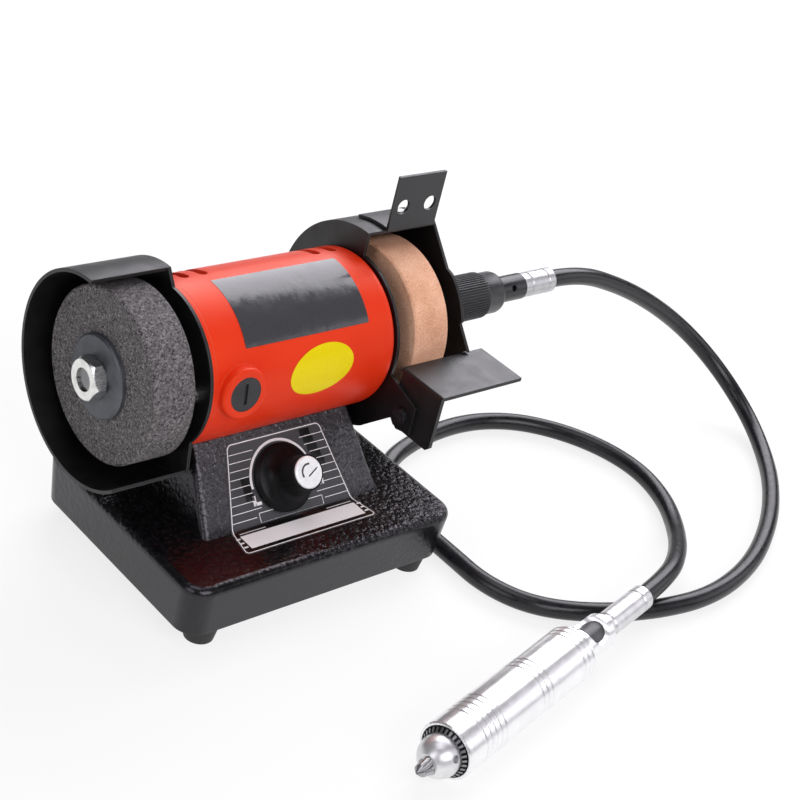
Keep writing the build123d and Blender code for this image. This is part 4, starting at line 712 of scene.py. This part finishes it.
# Grey wheel: coarse silicon carbide grit in a fired clay bond, 75 by 20 mm.
# Dark and pale grains show side by side, and the worn rim is open and rough.
grey_grit = finish("grey_grit", Specular_Ior_Level=0.4)
grey_place = place(grey_grit)
grey_grain = add(grey_grit, "ShaderNodeTexVoronoi", {"Vector": grey_place, "Scale": 1400.0})
grey_sparkle = add(grey_grit, "ShaderNodeSeparateColor",
                   {"Color": grey_grain.outputs["Color"]}).outputs["Red"]
grey_clump = noise(grey_grit, grey_place, 800.0, 3.0)
grey_mixed = mix_patterns(grey_grit, 0.55, grey_sparkle, grey_clump)
grey_height = blend_values(grey_grit, "SUBTRACT", grey_clump, grey_grain.outputs["Distance"])
feed(grey_grit,
     base_color=shades(grey_grit, grey_mixed, (0.22, (0.022, 0.020, 0.021)), (0.44, (0.122, 0.113, 0.116)),
                       (0.66, (0.185, 0.172, 0.175)), (0.78, (0.28, 0.268, 0.27))),
     roughness=spread(grey_grit, grey_sparkle, 0.55, 0.9),
     normal=relief(grey_grit, grey_height, 0.0008, soft_edges(grey_grit, 0.0008)))
dress(grey_grit, "grey_wheel")


# Wheel flanges and nuts: dished flanges of blued steel clamp each wheel.
# A zinc-plated hexagon nut on the spindle's thread pulls them tight.
flange_steel = turned("flange_steel", (0.075, 0.08, 0.09), (0.12, 0.127, 0.14), 0.46, spindle_frame, 0.0004,
                      shine=0.7)
nut_zinc = plated("nut_zinc", (0.62, 0.62, 0.6), (0.82, 0.82, 0.8), 0.26, 0.0005)
dress(flange_steel, "inner_flanges", "left_outer_flange", "right_outer_flange")
dress(nut_zinc, "left_wheel_nut", "right_wheel_nut")


# Wheel guards: sheet steel pressed round the back of each wheel and screwed to the motor's ends.
# Three screws hold a cover on the right one. Its front edge bulges round the spindle, where it
# carries the flexible shaft. All are powder-coated semi-gloss black.
guard_paint = powder_coat("guard_paint", (0.0025, 0.0025, 0.003), (0.06, 0.06, 0.065), 0.44)
dress(guard_paint, "left_guard", "right_guard")
dress(screw_zinc, "guard_screws", "cover_screws")

cover_inside = 0.0900
cover_sheet = 0.0015
cover_radius = 0.047
cover_start = radians(238.0)
cover_turn = radians(212.5)
cover_steps = 72
cover_brow = (-0.0161, 0.0303)
boss_radius = 0.0352
boss_start = radians(123.5)
boss_turn = radians(37.0)
boss_steps = 14
cover_chin = ((-0.0324, 0.0103), (-0.0413, 0.0004), (-0.0392, 0.0002), (-0.0300, -0.0235))
cover_bore = 0.009
screw_hole = 0.00155
screw_circle = 0.04175
screw_angles = (-62.0, -5.0, 52.0)
cover_middle = spindle + Vector((cover_inside, 0, 0))
cover = bmesh.new()


def edge_on(corner, back, up):
    """Runs the cover's outline on from a corner to a new one, which it gives back."""
    after = cover.verts.new(cover_middle + Vector((0, back, up)))
    cover.edges.new((corner, after))
    return after


def arc_on(corner, turn, steps):
    """Runs the cover's outline on along an arc about the spindle, and gives back its end."""
    swept = bmesh.ops.spin(cover, geom=[corner], cent=cover_middle, axis=(1, 0, 0), angle=turn, steps=steps)
    return next(part for part in swept["geom_last"] if isinstance(part, bmesh.types.BMVert))


cover_foot = cover.verts.new(cover_middle + Vector((0, cos(cover_start), sin(cover_start))) * cover_radius)
corner = edge_on(arc_on(cover_foot, cover_turn, cover_steps), *cover_brow)
corner = edge_on(corner, boss_radius * cos(boss_start), boss_radius * sin(boss_start))
corner = arc_on(corner, boss_turn, boss_steps)
for back, up in cover_chin:
    corner = edge_on(corner, back, up)
cover.edges.new((corner, cover_foot))
outwards = Matrix.Rotation(pi / 2, 4, "Y")
bmesh.ops.create_circle(cover, segments=48, radius=cover_bore,
                        matrix=Matrix.Translation(cover_middle) @ outwards)
for angle in screw_angles:
    around = Matrix.Rotation(radians(angle), 4, "X")
    hole_place = cover_middle + around @ Vector((0, screw_circle, 0))
    bmesh.ops.create_circle(cover, segments=16, radius=screw_hole,
                            matrix=Matrix.Translation(hole_place) @ outwards)
bmesh.ops.triangle_fill(cover, use_beauty=True, edges=cover.edges)
grown = bmesh.ops.extrude_face_region(cover, geom=cover.faces)["geom"]
bmesh.ops.translate(cover, verts=[part for part in grown if isinstance(part, bmesh.types.BMVert)],
                    vec=(cover_sheet, 0, 0))
bmesh.ops.recalc_face_normals(cover, faces=cover.faces)
shaft_cover = make_piece(cover, "shaft_cover", guard_paint)
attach(shaft_cover, "stand")
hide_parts("right_guard_cover")


# Brown wheel: fine aluminium oxide grit in a resin bond, 75 by 20 mm.
# It is tan all through, with a close, even grain.
brown_grit = finish("brown_grit", Specular_Ior_Level=0.3)
brown_place = place(brown_grit)
brown_grain = noise(brown_grit, brown_place, 1600.0, 6.0)
brown_cloud = noise(brown_grit, brown_place, 90.0, 4.0)
brown_mixed = mix_patterns(brown_grit, 0.6, brown_grain, brown_cloud)
feed(brown_grit,
     base_color=shades(brown_grit, brown_mixed, (0.35, (0.58, 0.28, 0.16)), (0.52, (0.78, 0.43, 0.275)),
                       (0.68, (0.90, 0.58, 0.40))),
     roughness=spread(brown_grit, brown_grain, 0.7, 0.92),
     normal=relief(brown_grit, brown_grain, 0.0003, soft_edges(brown_grit, 0.0008)))
dress(brown_grit, "brown_wheel")


# Tool rest: an angle of sheet steel, painted black, with a flat platform in front of the wheel.
# One bolt through its slot holds it to the guard's ear, so it can follow the wheel's wear.
rest_paint = powder_coat("rest_paint", (0.006, 0.006, 0.0066), (0.13, 0.13, 0.135), 0.36)
bolt_black = plated("bolt_black", (0.05, 0.05, 0.055), (0.1, 0.1, 0.11), 0.4)
dress(rest_paint, "tool_rest")
dress(bolt_black, "tool_rest_bolt")


# Eye shield bracket: a bent steel tab on the right guard's top, held by two small screws and nuts.
# Its two holes take the screws of a clear shield.
bracket_paint = powder_coat("bracket_paint", (0.016, 0.016, 0.018), (0.14, 0.14, 0.145), 0.4)
dress(bracket_paint, "eye_shield_bracket")
dress(screw_zinc, "bracket_screws")


# Coupling of the flexible shaft: a steel spigot on the cover, and a black union nut whose knurled
# collar screws over it. A black sleeve and a crimped bright ferrule hold the sheath's end.
def turn_ring(bm, outline, middle, steps):
    """Turns a closed outline of places along x and radii once round the x axis through a middle."""
    corners = [bm.verts.new(middle + Vector((x, 0, radius))) for x, radius in outline]
    sides = [bm.edges.new(pair) for pair in zip(corners, corners[1:] + corners[:1])]
    bmesh.ops.spin(bm, geom=[*corners, *sides], cent=middle, axis=(1, 0, 0), angle=2 * pi, steps=steps,
                   use_merge=True)
    bmesh.ops.remove_doubles(bm, verts=bm.verts, dist=0.000001)
    bmesh.ops.recalc_face_normals(bm, faces=bm.faces)


coupling_black = moulded("coupling_black", (0.015, 0.015, 0.017), (0.03, 0.03, 0.033), 0.36, 0.00003)
sleeve_black = moulded("sleeve_black", (0.012, 0.012, 0.014), (0.026, 0.026, 0.03), 0.3, 0.00003)
ferrule_metal = turned("ferrule_metal", (0.46, 0.46, 0.47), (0.58, 0.58, 0.59), 0.32, spindle_frame, 0.0005,
                       shine=0.6)
spigot_steel = turned("spigot_steel", (0.42, 0.43, 0.45), (0.6, 0.61, 0.63), 0.3, spindle_frame, 0.0004)
dress(sleeve_black, "coupling_sleeve")
dress(ferrule_metal, "motor_ferrule")
dress(spigot_steel, "flex_spigot")

union_ribs = 56
rib_height = 0.0006
rib_length_share = 0.97
rib_width_share = 0.6
knurl_ends = (0.1065, 0.1345)
knurl_inside = 0.0095
union_section = ((0.104, 0.0083), (0.104, 0.0107), (0.1046, 0.0113), (0.1058, 0.0113), (0.1065, 0.0107),
                 (0.1345, 0.0107), (0.1350, 0.0106), (0.1355, 0.0103), (0.1435, 0.0103), (0.145, 0.0098),
                 (0.1458, 0.0088), (0.146, 0.0078), (0.146, 0.0068), (0.1355, 0.0068), (0.1355, 0.0083))
union = bmesh.new()
turn_ring(union, union_section, spindle, 2 * union_ribs)
band = [face for face in union.faces
        if knurl_ends[0] < face.calc_center_median().x < knurl_ends[1]
        and (face.calc_center_median() - spindle).yz.length > knurl_inside]
band.sort(key=lambda face: (face.calc_center_median() - spindle).yz.angle_signed(Vector((1, 0))))
for face in bmesh.ops.extrude_discrete_faces(union, faces=band[::2])["faces"]:
    bmesh.ops.translate(union, verts=face.verts, vec=face.normal * rib_height)
    middle = face.calc_center_median()
    for vert in face.verts:
        across = vert.co - middle
        vert.co = middle + across * Vector((rib_length_share, rib_width_share, rib_width_share))
union_nut = make_piece(union, "union_nut", coupling_black)
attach(union_nut, "coupling_nut")
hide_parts("coupling_nut")


# Handpiece: a turned and polished aluminium grip with shallow finger grooves and a necked tail.
# A black tail tube shows through the neck, and a crimped ferrule closes it over the sheath.
hand_line = Vector((0.980598, 0.195053, 0.019546))
hand_side = Vector((0.195090, -0.980785, 0.0))
hand_up = hand_side.cross(hand_line)
hand_turn = Matrix((hand_line, hand_side, hand_up)).transposed().to_4x4()
hand_place = Vector((-0.0215, -0.1583, 0.0124976))
hand_frame = Matrix.Translation(hand_place) @ hand_turn
grip_metal = turned("grip_metal", (0.88, 0.88, 0.89), (0.95, 0.95, 0.96), 0.24, hand_frame, 0.00045,
                    shine=0.8)
tool_ferrule_metal = turned("tool_ferrule_metal", (0.58, 0.58, 0.59), (0.72, 0.72, 0.73), 0.28, hand_frame,
                            0.0005, shine=0.6)
dress(grip_metal, "handpiece_grip")
dress(tool_ferrule_metal, "tool_ferrule")
tail_grey = moulded("tail_grey", (0.045, 0.045, 0.048), (0.085, 0.085, 0.09), 0.38, 0.00003)
dress(tail_grey, "tail_tube")


# Drill chuck: a bright steel nose with three slanting bores and key holes, and three split jaws.
# A blackened ring with key teeth turns round it, and a steel spindle in two bearings carries it.
chuck_steel = turned("chuck_steel", (0.66, 0.66, 0.67), (0.82, 0.82, 0.83), 0.34, hand_frame, 0.0003,
                     shine=0.75)
jaw_steel = turned("jaw_steel", (0.34, 0.34, 0.35), (0.5, 0.5, 0.51), 0.3, hand_frame, 0.0003)
ring_steel = turned("ring_steel", (0.012, 0.012, 0.013), (0.03, 0.03, 0.032), 0.4, hand_frame, 0.0004)
tooth_steel = turned("tooth_steel", (0.2, 0.2, 0.205), (0.34, 0.34, 0.345), 0.34, hand_frame, 0.0004)
dress(chuck_steel, "chuck_body", "hand_spindle", "hand_bearing_outers", "hand_bearing_inners")
dress(jaw_steel, "chuck_jaw_1", "chuck_jaw_2", "chuck_jaw_3")

ring_teeth = 30
tooth_height = 0.00075
tooth_slant = -0.3
tooth_start = -0.0009
tooth_slot = 1
ring_section = ((-0.0012, 0.0089), (-0.0010, 0.0092), (0.0005, 0.0107), (0.0088, 0.0107), (0.0088, 0.0089))
key_ring = bmesh.new()
turn_ring(key_ring, ring_section, Vector((0, 0, 0)), 2 * ring_teeth)
slants = [face for face in key_ring.faces
          if face.normal.x < tooth_slant and face.calc_center_median().x > tooth_start]
slants.sort(key=lambda face: face.calc_center_median().yz.angle_signed(Vector((1, 0))))
for face in bmesh.ops.extrude_discrete_faces(key_ring, faces=slants[::2])["faces"]:
    face.material_index = tooth_slot
    bmesh.ops.translate(key_ring, verts=face.verts, vec=(-tooth_height, 0, 0))
bmesh.ops.transform(key_ring, verts=key_ring.verts, matrix=hand_frame)
toothed_ring = make_piece(key_ring, "toothed_ring", ring_steel, tooth_steel)
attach(toothed_ring, "chuck_ring")
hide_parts("chuck_ring")
